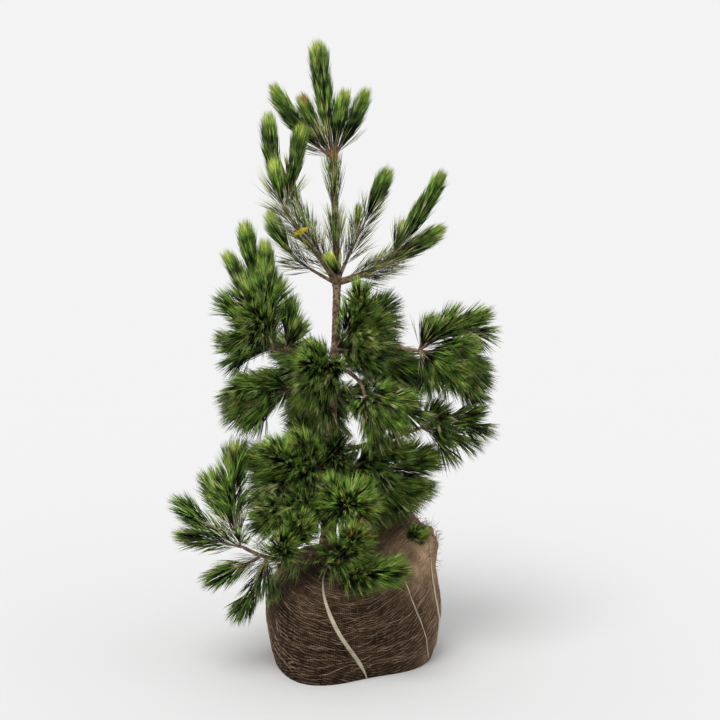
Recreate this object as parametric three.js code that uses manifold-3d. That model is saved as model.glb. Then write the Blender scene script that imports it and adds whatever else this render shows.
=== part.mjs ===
// A young long-needled pine standing on its hessian-wrapped root ball.
// Millimetres, +Z up. The origin is the middle of the flat underside of the ball.
// Headings ("turn") are degrees anticlockwise from +X seen from above, "lift" is degrees above level.

import * as THREE from 'three';
import { mergeVertices } from 'three/addons/utils/BufferGeometryUtils.js';
import Module from 'manifold-3d';

const wasm = await Module();
wasm.setup();

// ---------------------------------------------------------------- driving dimensions

const GAP = 0.3;                       // left between limbs, straps and ball
const MASS_GAP = 3;                  // left round a mass of needles
const MASS_SMOOTHING = 4;            // how far a mass may move when its small facets are merged

const TRUNK_FOOT_HEIGHT = 258;         // the flat cut of the trunk, on top of the soil
const TRUNK_TOP_HEIGHT = 1160;         // the whorl under the leader, where the trunk forks
const TRUNK_SIDES = 9;
const TRUNK_RINGS = 8;
const TRUNK_SWAY = [-45, -39, -35, -27, -22, -25, -30];   // its x at even steps from foot to top
const TRUNK_TOP_RADIUS = 7.5;
const TRUNK_LOW_RADIUS = 12.5;
const FLARE_RADIUS = 9;                // added to the radius at the foot
const FLARE_HEIGHT = 35;

const BOUGH_SIDES = 6;
const BOUGH_RINGS = 3;

const LOBE_SIDES = 5;
const LOBE_RINGS = 3;
const LOBE_UNEVENNESS = 0.14;          // share of the girth
const LOBE_STALK_RADIUS = 4;
const LOBE_TIP_SHARE = 0.45;           // radius of the blunt tip as a share of the girth

const BALL_SIDES = 26;
const BALL_RINGS = 10;
const BALL_PROFILE = [[0, 0], [0.9, 0], [0.99, 12], [1.05, 60], [1.09, 120], [1.03, 175],
  [0.93, 212], [0.72, 236], [0.4, 250], [0, 254]];          // share of the foot radius, height
const BALL_FOOT_RADIUS = 187;
const BALL_FOOT_SWELLS = [
  { turn: 246, spread: 24, amount: 30 },
  { turn: 294, spread: 30, amount: -28 },
  { turn: 178, spread: 34, amount: -14 },
  { turn: 12, spread: 40, amount: 18 },
];
// gathered cloth behind: it rises by rise and is drawn in by draw, from one height to another
const COLLAR = { turn: 22, spread: 48, rise: 94, draw: 16, from: 150, to: 236 };

const STRAP_WIDTH = 10;
const STRAP_PROUD = 3.6;               // its outer face stands this far off the ball
const STRAP_LIFT = 1.2;                // its inner face stands this far off the ball
const STRAP_SMOOTHING = 0.8;
const STRAP_STEPS = 9;                // on each side
const STRAP_LOW = 0.13;                // how far up the ball's profile it begins
const STRAP_HIGH = 0.93;               // and where it crosses the crown
const STRAP_BITE = 5;                  // half the depth of the band before it is trimmed
const BALL_HEART = new THREE.Vector3(0, 0, 120);

// ---------------------------------------------------------------- the plant, limb by limb

// height is where the limb leaves the trunk
const BOUGHS = [
  { name: 'bough_upper_left_front', height: 880, turn: 215, lift: 51, reach: 221, foot: 5.5, tip: 3.5 },
  { name: 'bough_upper_left_back', height: 878, turn: 141, lift: 21, reach: 138, bow: 5,
    foot: 4.5, tip: 3 },
  { name: 'bough_upper_right_front', height: 880, turn: 327, lift: 24, reach: 162, sag: 10,
    foot: 5.5, tip: 3.5 },
  { name: 'bough_upper_right_back', height: 884, turn: 53, lift: 51, reach: 119, sag: 6, bow: 5,
    foot: 4.5, tip: 3 },
  { name: 'bough_middle_left', height: 690, turn: 204, lift: 18, reach: 154, sag: -5, foot: 6.5, tip: 4 },
  { name: 'bough_middle_left_low', height: 670, turn: 219, lift: -8, reach: 129, sag: -3,
    foot: 5, tip: 3.5 },
  { name: 'bough_middle_right', height: 722, turn: 345, lift: 3, reach: 196, sag: -13, foot: 6.5, tip: 4 },
  { name: 'bough_middle_front', height: 688, turn: 298, lift: -18, reach: 155, sag: -12, bow: 15,
    foot: 5.5, tip: 3.5 },
  { name: 'bough_lower_right', height: 489, turn: 352, lift: 17, reach: 217, sag: 8, bow: 8,
    foot: 6.5, tip: 4 },
  { name: 'bough_low_left', height: 280, turn: 220, lift: 7, reach: 249, sag: 37, bow: 28,
    foot: 7, tip: 4 },
  { name: 'bough_low_front', height: 290, turn: 269, lift: -24, reach: 153, sag: 14, bow: -11,
    foot: 6.5, tip: 4.5 },
  { name: 'bough_rear', height: 545, turn: 96, lift: 16, reach: 188, sag: 10, foot: 6.5, tip: 4 },
];

// Each mass is one or more lobes that start together: at the end of a bough, at the top of the
// trunk, or at a height on it. stalk is the share of a lobe's reach that is bare and thin.
const MASSES = [
  { name: 'needles_leader', on: 'top', lobes: [
    { turn: 197, lift: 82, reach: 262, girth: 23, stalk: 0.05, sag: 2 }] },
  { name: 'needles_top_far_left', on: 'top', lobes: [
    { turn: 171, lift: 51, reach: 212, girth: 18, stalk: 0.15, sag: 25, bow: 3 }] },
  { name: 'needles_top_left', on: 'top', lobes: [
    { turn: 151, lift: 60, reach: 165, girth: 19, stalk: 0.1, sag: 8, bow: 4 }] },
  { name: 'needles_top_front', on: 'top', lobes: [
    { turn: 302, lift: 69, reach: 165, girth: 17, stalk: 0.1 }] },
  { name: 'needles_top_right', on: 'top', lobes: [
    { turn: 15, lift: 64, reach: 174, girth: 19, stalk: 0.1, sag: 9, bow: -2 }] },

  { name: 'needles_upper_left_tall', on: 'bough_upper_left_front', lobes: [
    { turn: 180, lift: 82, reach: 214, girth: 21, stalk: 0, sag: 13 },
    { turn: 244, lift: 68, reach: 121, girth: 17, stalk: 0, sag: 2, bow: -4 }] },
  { name: 'needles_upper_left_inner', on: 'bough_upper_left_front', lobes: [
    { turn: 39, lift: 76, reach: 192, girth: 20, stalk: 0, sag: 5, bow: -4 }] },
  { name: 'needles_upper_left_outer', on: 'bough_upper_left_back', lobes: [
    { turn: 160, lift: 64, reach: 130, girth: 22, stalk: 0, sag: 8, bow: 3 }] },
  { name: 'needles_upper_front', on: 878, lobes: [
    { turn: 254, lift: 57, reach: 95, girth: 18, stalk: 0 }] },
  { name: 'needles_upper_right_back', on: 'bough_upper_right_back', lobes: [
    { turn: 39, lift: 59, reach: 187, girth: 21, stalk: 0.2, sag: 9, bow: -6 },
    { turn: 294, lift: 83, reach: 83, girth: 15, stalk: 0 }] },
  { name: 'needles_upper_right_tall', on: 'bough_upper_right_front', lobes: [
    { turn: 340, lift: 58, reach: 224, girth: 20, stalk: 0.05, sag: 9, bow: 3 },
    { turn: 0, lift: 64, reach: 158, girth: 15, stalk: 0.3, sag: 10 },
    { turn: 60, lift: 61, reach: 98, girth: 20, stalk: 0 }] },
  { name: 'needles_upper_right_low', on: 878, lobes: [
    { turn: 5, lift: 28, reach: 276, girth: 19, stalk: 0.35, sag: 21 }] },
  { name: 'needles_upper_rear', on: 884, lobes: [
    { turn: 121, lift: 46, reach: 385, girth: 25, stalk: 0.5, sag: 35 }] },

  { name: 'needles_left_burst', on: 'bough_middle_left', lobes: [
    { turn: 261, lift: 67, reach: 208, girth: 35, stalk: 0.1 },
    { turn: 212, lift: 46, reach: 164, girth: 31, stalk: 0.1 },
    { turn: 249, lift: 42, reach: 201, girth: 34, stalk: 0.1 }] },
  { name: 'needles_left_crest', on: 'bough_middle_left', lobes: [
    { turn: 150, lift: 75, reach: 297, girth: 21, stalk: 0.45, sag: 4, bow: 2 },
    { turn: 108, lift: 76, reach: 252, girth: 22, stalk: 0.45 },
    { turn: 165, lift: 62, reach: 248, girth: 21, stalk: 0.45 }] },
  { name: 'needles_left_inner', on: 'bough_middle_left', at: 0.8, lobes: [
    { turn: 344, lift: 64, reach: 96, girth: 25, stalk: 0 },
    { turn: 89, lift: 78, reach: 136, girth: 13, stalk: 0.2 }] },
  { name: 'needles_left_middle', on: 'bough_middle_left', lobes: [
    { turn: 190, lift: -9, reach: 120, girth: 33, stalk: 0 },
    { turn: 168, lift: 16, reach: 101, girth: 25, stalk: 0 }] },
  { name: 'needles_left_lower', on: 'bough_middle_left_low', lobes: [
    { turn: 202, lift: 7, reach: 157, girth: 31, stalk: 0 },
    { turn: 234, lift: 33, reach: 118, girth: 22, stalk: 0 },
    { turn: 187, lift: -17, reach: 170, girth: 21, stalk: 0.2 },
    { turn: 198, lift: -34, reach: 153, girth: 24, stalk: 0.2 }] },
  { name: 'needles_centre_front', on: 677, lobes: [
    { turn: 242, lift: 34, reach: 164, girth: 24, stalk: 0 },
    { turn: 249, lift: 16, reach: 201, girth: 26, stalk: 0.1 },
    { turn: 239, lift: -17, reach: 171, girth: 22, stalk: 0.1 },
    { turn: 250, lift: -35, reach: 156, girth: 22, stalk: 0.1 },
    { turn: 277, lift: 18, reach: 169, girth: 22, stalk: 0.1 }] },
  { name: 'needles_right_back', on: 725, lobes: [
    { turn: 30, lift: 40, reach: 210, girth: 25, stalk: 0.4 },
    { turn: 14, lift: 13, reach: 167, girth: 28, stalk: 0.35 },
    { turn: 15, lift: -13, reach: 163, girth: 28, stalk: 0.35 },
    { turn: 5, lift: -17, reach: 239, girth: 23, stalk: 0.55 }] },
  { name: 'needles_right_crest', on: 703, lobes: [
    { turn: 304, lift: 56, reach: 215, girth: 44, stalk: 0.1, sag: 11, bow: 13 },
    { turn: 326, lift: 40, reach: 188, girth: 27, stalk: 0.2 },
    { turn: 304, lift: 14, reach: 173, girth: 28, stalk: 0.2 }] },
  { name: 'needles_right_far_upper', on: 'bough_middle_right', lobes: [
    { turn: 335, lift: 43, reach: 161, girth: 33, stalk: 0.1 },
    { turn: 13, lift: 61, reach: 100, girth: 24, stalk: 0.1 },
    { turn: 10, lift: 26, reach: 197, girth: 21, stalk: 0.4 }] },
  { name: 'needles_right_far_middle', on: 'bough_middle_right', lobes: [
    { turn: 334, lift: 13, reach: 165, girth: 31, stalk: 0.1 },
    { turn: 10, lift: -15, reach: 186, girth: 24, stalk: 0.35 },
    { turn: 17, lift: -33, reach: 206, girth: 24, stalk: 0.35 },
    { turn: 314, lift: -20, reach: 161, girth: 28, stalk: 0.1 },
    { turn: 296, lift: -34, reach: 120, girth: 26, stalk: 0.1 }] },
  { name: 'needles_right_low_tip', on: 'bough_lower_right', lobes: [
    { turn: 336, lift: 42, reach: 104, girth: 25, stalk: 0 },
    { turn: 356, lift: 16, reach: 168, girth: 19, stalk: 0.45 },
    { turn: 346, lift: -6, reach: 129, girth: 23, stalk: 0.25 },
    { turn: 329, lift: -33, reach: 117, girth: 20, stalk: 0.2 },
    { turn: 301, lift: 50, reach: 111, girth: 25, stalk: 0.1 }] },
  { name: 'needles_right_front', on: 'bough_middle_front', lobes: [
    { turn: 326, lift: 6, reach: 164, girth: 32, stalk: 0 },
    { turn: 319, lift: 23, reach: 115, girth: 26, stalk: 0 },
    { turn: 320, lift: -22, reach: 150, girth: 25, stalk: 0 },
    { turn: 288, lift: -40, reach: 123, girth: 26, stalk: 0 },
    { turn: 241, lift: -21, reach: 85, girth: 26, stalk: 0 }] },

  { name: 'needles_low_left_bright', on: 404, lobes: [
    { turn: 235, lift: 34, reach: 296, girth: 52, stalk: 0.35 },
    { turn: 245, lift: 44, reach: 245, girth: 31, stalk: 0.35 },
    { turn: 215, lift: 25, reach: 269, girth: 28, stalk: 0.35 }] },
  { name: 'needles_low_centre', on: 423, lobes: [
    { turn: 243, lift: 48, reach: 168, girth: 29, stalk: 0.1 },
    { turn: 223, lift: 57, reach: 213, girth: 22, stalk: 0.3 },
    { turn: 291, lift: 52, reach: 176, girth: 25, stalk: 0.3 }] },
  { name: 'needles_far_left_upright', on: 'bough_low_left', lobes: [
    { turn: 93, lift: 86, reach: 245, girth: 24, stalk: 0.35, bow: 24 },
    { turn: 147, lift: 57, reach: 197, girth: 26, stalk: 0.4, sag: -3, bow: -2 }] },
  { name: 'needles_far_left_tip', on: 'bough_low_left', lobes: [
    { turn: 173, lift: 35, reach: 197, girth: 27, stalk: 0.3, sag: 4 }] },
  { name: 'needles_far_left_low', on: 'bough_low_left', lobes: [
    { turn: 188, lift: 13, reach: 165, girth: 23, stalk: 0.1, sag: 6 },
    { turn: 288, lift: 24, reach: 93, girth: 28, stalk: 0 }] },
  { name: 'needles_low_left_inner', on: 327, lobes: [
    { turn: 238, lift: 20, reach: 278, girth: 43, stalk: 0.3 },
    { turn: 251, lift: 24, reach: 254, girth: 41, stalk: 0.25 },
    { turn: 229, lift: 11, reach: 270, girth: 28, stalk: 0.5 }] },
  { name: 'needles_front_left', on: 'bough_low_left', at: 0.55, lobes: [
    { turn: 288, lift: 47, reach: 199, girth: 43, stalk: 0 },
    { turn: 265, lift: 33, reach: 177, girth: 28, stalk: 0 }] },
  { name: 'needles_ball_left_upper', on: 'bough_low_left', at: 0.8, lobes: [
    { turn: 209, lift: -13, reach: 162, girth: 26, stalk: 0.45 }] },
  { name: 'needles_ball_left_lower', on: 'bough_low_left', at: 0.8, lobes: [
    { turn: 159, lift: -61, reach: 185, girth: 27, stalk: 0.5, sag: 13, bow: -4 },
    { turn: 319, lift: -69, reach: 114, girth: 18, stalk: 0.3 }] },
  { name: 'needles_front_centre', on: 'bough_low_front', lobes: [
    { turn: 305, lift: 49, reach: 222, girth: 43, stalk: 0.1, sag: 7, bow: 7 }] },
  { name: 'needles_front_right', on: 'bough_low_front', lobes: [
    { turn: 332, lift: 17, reach: 220, girth: 31, stalk: 0.3, sag: 14, bow: 2 }] },
  { name: 'needles_low_right_side', on: 420, lobes: [
    { turn: 352, lift: 16, reach: 284, girth: 32, stalk: 0.45 },
    { turn: 346, lift: -2, reach: 251, girth: 27, stalk: 0.45 },
    { turn: 12, lift: -20, reach: 209, girth: 28, stalk: 0.4 },
    { turn: 344, lift: -30, reach: 172, girth: 25, stalk: 0.45 }] },
  { name: 'needles_low_right_upper', on: 423, lobes: [
    { turn: 319, lift: 30, reach: 249, girth: 37, stalk: 0.2 }] },
  { name: 'needles_low_right_front', on: 339, lobes: [
    { turn: 285, lift: 22, reach: 289, girth: 58, stalk: 0.25 }] },

  { name: 'needles_rear_right', on: 702, lobes: [
    { turn: 62, lift: 2, reach: 262, girth: 32, stalk: 0.35 },
    { turn: 34, lift: -16, reach: 272, girth: 34, stalk: 0.35 }] },
  { name: 'needles_rear_left', on: 702, lobes: [
    { turn: 128, lift: 2, reach: 268, girth: 32, stalk: 0.35 },
    { turn: 148, lift: -22, reach: 262, girth: 30, stalk: 0.35 },
    { turn: 104, lift: -6, reach: 236, girth: 28, stalk: 0.35 }] },
  { name: 'needles_rear_middle', on: 'bough_rear', lobes: [
    { turn: 92, lift: 14, reach: 140, girth: 34, stalk: 0.1 },
    { turn: 128, lift: -16, reach: 176, girth: 34, stalk: 0.1 },
    { turn: 50, lift: -10, reach: 190, girth: 34, stalk: 0.1 },
    { turn: 84, lift: -48, reach: 176, girth: 36, stalk: 0.1 }] },
  { name: 'needles_rear_low_right', on: 335, lobes: [
    { turn: 56, lift: 10, reach: 290, girth: 36, stalk: 0.3 },
    { turn: 78, lift: 32, reach: 216, girth: 32, stalk: 0.3 }] },
  { name: 'needles_rear_low_left', on: 335, lobes: [
    { turn: 112, lift: 14, reach: 290, girth: 36, stalk: 0.3 },
    { turn: 138, lift: 20, reach: 290, girth: 32, stalk: 0.35 },
    { turn: 150, lift: 2, reach: 240, girth: 28, stalk: 0.4 }] },
];

// Each strap climbs one side of the ball and goes down the other: its headings on the way
const STRAPS = [
  { name: 'strap_front', up: [289, 276, 263, 250, 236], down: [104, 96, 88] },
  { name: 'strap_side', up: [12, -8, -16, -4, 24], down: [140, 148, 150] },
];

// ---------------------------------------------------------------- finishes

const finish = (color, roughness) => new THREE.MeshStandardMaterial({ color, roughness, metalness: 0 });
const barkFinish = () => finish(0x75604c, 0.85);
const needleFinish = (shade) => finish(new THREE.Color().setHSL(0.28, 0.42, 0.17 + 0.1 * shade), 0.7);
const hessianFinish = () => finish(0x5a4432, 0.95);
const strapFinish = () => finish(0xb9af96, 0.6);

// ---------------------------------------------------------------- helpers

const up = new THREE.Vector3(0, 0, 1);
const random = (seed) => THREE.MathUtils.seededRandom(seed);
const degrees = THREE.MathUtils.degToRad;

function heading(turn, lift) {
  const level = Math.cos(degrees(lift));
  return new THREE.Vector3(
    level * Math.cos(degrees(turn)), level * Math.sin(degrees(turn)), Math.sin(degrees(lift)));
}

// a limb's line: its middle is pushed square to it, down and outwards by sag and to its left by bow
function limbLine(start, { turn, lift, reach, sag = 0, bow = 0 }) {
  const end = start.clone().addScaledVector(heading(turn, lift), reach);
  const middle = start.clone().add(end).multiplyScalar(0.5);
  middle.addScaledVector(heading(turn, lift - 90), 2 * sag);
  middle.addScaledVector(heading(turn + 90, 0), 2 * bow);
  return new THREE.QuadraticBezierCurve3(start, middle, end);
}

// 1 at a heading, falling to 0 away from it as a bell curve
function bell(turn, centre, spread) {
  const away = Math.abs(((turn - centre + 540) % 360) - 180);
  return Math.exp(-((away / spread) ** 2));
}

function positionsOnly(geometry) {
  geometry.deleteAttribute('normal');
  geometry.deleteAttribute('uv');
  return mergeVertices(geometry, 1e-4);
}

// A closed cylinder of unit radius and height is bent along a line. guideAt gives the direction
// that the section faces at a spot, and sectionAt its width and depth at a share of the length.
// The two ends stand out past the line's ends by overrun.
function sweep(line, sides, rings, guideAt, sectionAt, overrun = 0) {
  const turned = Math.PI / sides;
  const geometry = positionsOnly(new THREE.CylinderGeometry(1, 1, 1, sides, rings, false, turned));
  const place = geometry.getAttribute('position');
  const point = new THREE.Vector3();
  for (let i = 0; i < place.count; i++) {
    point.fromBufferAttribute(place, i);
    const share = THREE.MathUtils.clamp(point.y + 0.5, 0, 1);
    const spot = line.getPoint(share);
    const tangent = line.getTangent(share);
    const side = new THREE.Vector3().crossVectors(guideAt(spot), tangent).normalize();
    const rise = new THREE.Vector3().crossVectors(side, tangent);
    const [width, depth] = sectionAt(share, i);
    spot.addScaledVector(side, width * point.x).addScaledVector(rise, depth * point.z);
    spot.addScaledVector(tangent, share === 0 ? -overrun : share === 1 ? overrun : 0);
    place.setXYZ(i, spot.x, spot.y, spot.z);
  }
  return geometry;
}

// a round limb along a line: its section faces up, or along +Y where it stands upright
function limb(line, sides, rings, radiusAt, grow) {
  const chord = line.getPoint(1).sub(line.getPoint(0)).normalize();
  const guide = Math.abs(chord.z) < 0.8 ? up : new THREE.Vector3(0, 1, 0);
  const sectionAt = (share, i) => {
    const radius = radiusAt(share, i) + grow;
    return [radius, radius];
  };
  return solidFrom(sweep(line, sides, rings, () => guide, sectionAt, grow));
}

function solidFrom(geometry) {
  const vertProperties = new Float32Array(geometry.getAttribute('position').array);
  const triVerts = new Uint32Array(geometry.getIndex().array);
  const solid = new wasm.Manifold(new wasm.Mesh({ numProp: 3, vertProperties, triVerts }));
  if (!(solid.volume() > 0)) throw new Error('a solid is empty or inside out');
  return solid;
}

function geometryFrom(solid) {
  const mesh = solid.getMesh();
  const geometry = new THREE.BufferGeometry();
  geometry.setAttribute('position', new THREE.BufferAttribute(mesh.vertProperties, 3));
  geometry.setIndex(new THREE.BufferAttribute(mesh.triVerts, 1));
  geometry.computeVertexNormals();
  return geometry;
}

function boxesMeet(a, b) {
  const p = a.boundingBox();
  const q = b.boundingBox();
  return [0, 1, 2].every((k) => p.min[k] < q.max[k] && q.min[k] < p.max[k]);
}

// ---------------------------------------------------------------- trunk and boughs

const trunkLine = new THREE.CatmullRomCurve3(TRUNK_SWAY.map((x, i) => new THREE.Vector3(
  x, 0, THREE.MathUtils.lerp(TRUNK_FOOT_HEIGHT, TRUNK_TOP_HEIGHT, i / (TRUNK_SWAY.length - 1)))));

function trunkPoint(height) {
  return trunkLine.getPoint((height - TRUNK_FOOT_HEIGHT) / (TRUNK_TOP_HEIGHT - TRUNK_FOOT_HEIGHT));
}

function trunkSolid(grow) {
  const length = TRUNK_TOP_HEIGHT - TRUNK_FOOT_HEIGHT;
  const radiusAt = (share) => THREE.MathUtils.lerp(TRUNK_LOW_RADIUS, TRUNK_TOP_RADIUS, share)
    + FLARE_RADIUS * Math.exp(-share * length / FLARE_HEIGHT);
  return limb(trunkLine, TRUNK_SIDES, TRUNK_RINGS, radiusAt, grow);
}

const boughLines = Object.fromEntries(BOUGHS.map((b) => [b.name, limbLine(trunkPoint(b.height), b)]));

function boughSolid(bough, grow) {
  const radiusAt = (share) => THREE.MathUtils.lerp(bough.foot, bough.tip, share);
  return limb(boughLines[bough.name], BOUGH_SIDES, BOUGH_RINGS, radiusAt, grow);
}

// ---------------------------------------------------------------- masses of needles

// thin along the stalk, then swelling to the full girth, then a blunt tip
function lobeRadius(lobe, share) {
  const along = THREE.MathUtils.clamp((share - lobe.stalk) / (1 - lobe.stalk), 0, 1);
  const swell = Math.sin(Math.PI * Math.min(0.5, 0.12 + along * 0.75));
  const close = THREE.MathUtils.lerp(1, LOBE_TIP_SHARE, THREE.MathUtils.smoothstep(along, 0.72, 1));
  return share < lobe.stalk ? LOBE_STALK_RADIUS : lobe.girth * swell * close;
}

function lobeSolid(start, lobe, seed, grow) {
  random(seed);
  const bumps = Array.from({ length: LOBE_SIDES * (LOBE_RINGS + 3) }, () => random() - 0.5);
  const radiusAt = (share, i) =>
    lobeRadius(lobe, share) * (1 + 2 * LOBE_UNEVENNESS * bumps[i % bumps.length]);
  return limb(limbLine(start, lobe), LOBE_SIDES, LOBE_RINGS, radiusAt, grow);
}

function massStart(mass) {
  if (mass.on === 'top') return trunkPoint(TRUNK_TOP_HEIGHT);
  if (typeof mass.on === 'number') return trunkPoint(mass.on);
  return boughLines[mass.on].getPoint(mass.at ?? 1);
}

function massSolid(mass, grow) {
  const seed = 100 * MASSES.indexOf(mass) + 7;
  const lobes = mass.lobes.map((lobe, i) => lobeSolid(massStart(mass), lobe, seed + i, grow));
  return lobes.reduce((joined, lobe) => joined.add(lobe));
}

// ---------------------------------------------------------------- root ball and straps

const ballProfile = new THREE.SplineCurve(BALL_PROFILE.map(([share, z]) => new THREE.Vector2(share, z)));

function footRadius(turn) {
  const swells = BALL_FOOT_SWELLS.map((s) => s.amount * bell(turn, s.turn, s.spread));
  return BALL_FOOT_RADIUS + swells.reduce((sum, amount) => sum + amount);
}

// the ball's skin: a share of the foot radius and a height, swollen and raised by heading
function ballPoint(turn, share, z, out = 0) {
  const gathered = bell(turn, COLLAR.turn, COLLAR.spread)
    * THREE.MathUtils.smoothstep(z, COLLAR.from, COLLAR.to);
  const radius = share * (footRadius(turn) - COLLAR.draw * gathered) + out;
  const rise = COLLAR.rise * gathered * THREE.MathUtils.smoothstep(share, 0.3, 0.8);
  return new THREE.Vector3(
    radius * Math.cos(degrees(turn)), radius * Math.sin(degrees(turn)), Math.max(0, z + rise));
}

function ballSolid(grow) {
  const outline = ballProfile.getPoints(BALL_RINGS);
  outline[0].x = 0;
  outline.at(-1).x = 0;
  const geometry = positionsOnly(new THREE.LatheGeometry(outline, BALL_SIDES).rotateX(Math.PI / 2));
  const place = geometry.getAttribute('position');
  for (let i = 0; i < place.count; i++) {
    const turn = THREE.MathUtils.radToDeg(Math.atan2(place.getY(i), place.getX(i)));
    const share = Math.hypot(place.getX(i), place.getY(i));
    const skin = ballPoint(turn, share, place.getZ(i));
    place.setXYZ(i, skin.x, skin.y, skin.z);
  }
  geometry.computeVertexNormals();
  const normal = geometry.getAttribute('normal');
  const skin = new THREE.Vector3();
  const outward = new THREE.Vector3();
  for (let i = 0; i < place.count; i++) {
    skin.fromBufferAttribute(place, i).addScaledVector(outward.fromBufferAttribute(normal, i), grow);
    place.setXYZ(i, skin.x, skin.y, skin.z);
  }
  return solidFrom(geometry);
}

// the value at a share of the way through a list of evenly spaced values
function along(values, share) {
  const at = share * (values.length - 1);
  const before = Math.min(Math.floor(at), values.length - 2);
  return THREE.MathUtils.lerp(values[before], values[before + 1], at - before);
}

// one side of a strap, from the foot of the ball to its crown
function strapSide(headings) {
  return Array.from({ length: STRAP_STEPS + 1 }, (_, i) => {
    const share = i / STRAP_STEPS;
    const near = ballProfile.getPoint(THREE.MathUtils.lerp(STRAP_LOW, STRAP_HIGH, share));
    return ballPoint(along(headings, share), near.x, near.y, STRAP_PROUD - STRAP_BITE);
  });
}

// a deep band is swept over the ball, standing proud of the skin, and the ball trims its inner face
function strapSolid(strap, grow) {
  const line = new THREE.CatmullRomCurve3([...strapSide(strap.up), ...strapSide(strap.down).reverse()]);
  const section = [STRAP_WIDTH * Math.SQRT1_2 + grow, STRAP_BITE * Math.SQRT2 + grow];
  const outward = (spot) => spot.clone().sub(BALL_HEART).normalize();
  const band = solidFrom(sweep(line, 4, STRAP_STEPS * 2, outward, () => section));
  return band.subtract(ballSolid(STRAP_LIFT)).trimByPlane([0, 0, 1], GAP);
}

// ---------------------------------------------------------------- assembly

const tree = new THREE.Group();
const placed = [];

// A solid is cut by what is already placed, grown by the gap, and its largest body is kept.
function place(name, make, material, gap = GAP, smoothing = 0) {
  let solid = make(0);
  for (const neighbour of placed) {
    const grown = neighbour(gap);
    if (boxesMeet(solid, grown)) solid = solid.subtract(grown);
  }
  solid = solid.simplify(smoothing);
  const bodies = solid.decompose().sort((a, b) => b.volume() - a.volume());
  placed.push(make);
  const mesh = new THREE.Mesh(geometryFrom(bodies[0]), material);
  mesh.name = name;
  tree.add(mesh);
}

place('trunk', trunkSolid, barkFinish());
place('root_ball', ballSolid, hessianFinish());
for (const strap of STRAPS) {
  place(strap.name, (grow) => strapSolid(strap, grow), strapFinish(), GAP, STRAP_SMOOTHING);
}
for (const bough of BOUGHS) place(bough.name, (grow) => boughSolid(bough, grow), barkFinish());
MASSES.forEach((mass, i) => place(
  mass.name, (grow) => massSolid(mass, grow), needleFinish(random(i)), MASS_GAP, MASS_SMOOTHING));

export default tree;
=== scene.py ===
import collections
import functools
import math

import bpy
import numpy as np
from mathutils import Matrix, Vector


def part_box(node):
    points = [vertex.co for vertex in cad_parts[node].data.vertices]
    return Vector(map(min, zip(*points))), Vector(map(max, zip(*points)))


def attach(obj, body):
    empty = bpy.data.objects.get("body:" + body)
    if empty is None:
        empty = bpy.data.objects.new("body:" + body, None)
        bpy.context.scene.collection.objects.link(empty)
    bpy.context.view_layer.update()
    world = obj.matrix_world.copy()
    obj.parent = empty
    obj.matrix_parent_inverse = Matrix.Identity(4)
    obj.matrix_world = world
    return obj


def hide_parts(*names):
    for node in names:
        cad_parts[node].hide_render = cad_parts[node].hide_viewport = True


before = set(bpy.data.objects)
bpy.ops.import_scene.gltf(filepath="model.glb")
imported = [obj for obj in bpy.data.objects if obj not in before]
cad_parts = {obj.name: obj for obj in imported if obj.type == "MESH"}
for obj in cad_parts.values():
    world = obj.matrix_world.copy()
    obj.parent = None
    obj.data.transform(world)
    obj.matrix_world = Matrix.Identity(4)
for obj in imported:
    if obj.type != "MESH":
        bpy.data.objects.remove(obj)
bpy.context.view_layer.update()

bl_info = {
    "name": "Pine sapling with root ball",
    "version": (1, 0, 0),
    "blender": (4, 5, 0),
    "location": "View3D > Sidebar > Pine",
    "description": "Grows bark, shoots and needles on a young pine, and wraps its root ball",
    "category": "Add Mesh",
}

remembered = functools.lru_cache(maxsize=None)      # a function that works each answer out once

MM = 0.001
GOLDEN_TURN = math.pi * (3 - math.sqrt(5))
UP = np.array([0, 0, 1.0])

# Shoots. A place along a stem is a share of its length, and angles are in degrees.
LOBE_CUTS = (0.2, 0.35, 0.5, 0.65, 0.8, 0.94)   # where a lobe of a mass is cut to find its stem
LOBE_WIDTH = 0.82           # least cosine between a lobe's tip and its points, seen from the foot
LOBES_APART = 9             # two tips of a mass closer than this belong to one lobe
TOGETHER = 0.4              # how far the stems of one mass leave their limb in the same direction
WIDE_SHOOT = 21.5 * MM      # girth from which a shoot is a plume
THICKEST = 4.2 * MM         # radius of a shoot's foot at most
LOW_SHOOTS = 340 * MM       # a shoot that starts lower than this has none hanging from it
LONG_SHOOT = 110 * MM       # nor has one shorter than this
BUD_RINGS = np.linspace(-2, 13, 7) * MM                              # a bud's rings from the stem's end
BUD_SWELL = np.array([1.2, 2.0, 2.5, 2.3, 1.7, 0.9, 0.2]) * MM       # and their radii
TOP_BUDS = ((0.4, 34), (2.2, 26), (4.4, 30))    # turn and height in mm of the buds on the trunk's tip
TOP_BUD_SWELL = np.array([3.2, 4.2, 4.6, 4.2, 3.4, 2.2, 0.6]) * MM

# Needles
KNEE = 0.58                 # where along its length a needle is widest, and where it bends
BUNDLE = 5                  # needles to a bundle
STRAY = 0.14                # share of the needles that have another shade than their bundle
SLACK = 20                  # how much further the oldest needles of a plume lean
SHEDDING = 0.6              # share of the needles that the oldest wood of a shoot has shed
YOUNG_REACH = 14 * MM       # below the bud, as far as needles can be young
SCORCH = (17 * MM, 0.8)     # how far below the bud needles are scorched, and the share that is
SHADED_FROM = (6 * MM, 60 * MM)                 # below the bud, where each of these starts and is full
SHED_FROM = (35 * MM, 95 * MM)
SLACK_FROM = (45 * MM, 130 * MM)
HEAVY_FROM = (45 * MM, 120 * MM)
PIECE_NEEDLES = 32000       # needles in one piece at most
NEEDLE_POINTS = 5           # points in the mesh of one needle

# Bark
SCAR_SPACING = 24 * MM      # from one column of leaf cushions to the next, round the limb
FLARE = 8                   # rings that run a bough's foot into the trunk
YOUNG_WOOD = (870 * MM, 970 * MM)               # heights between which the bark turns green

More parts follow.
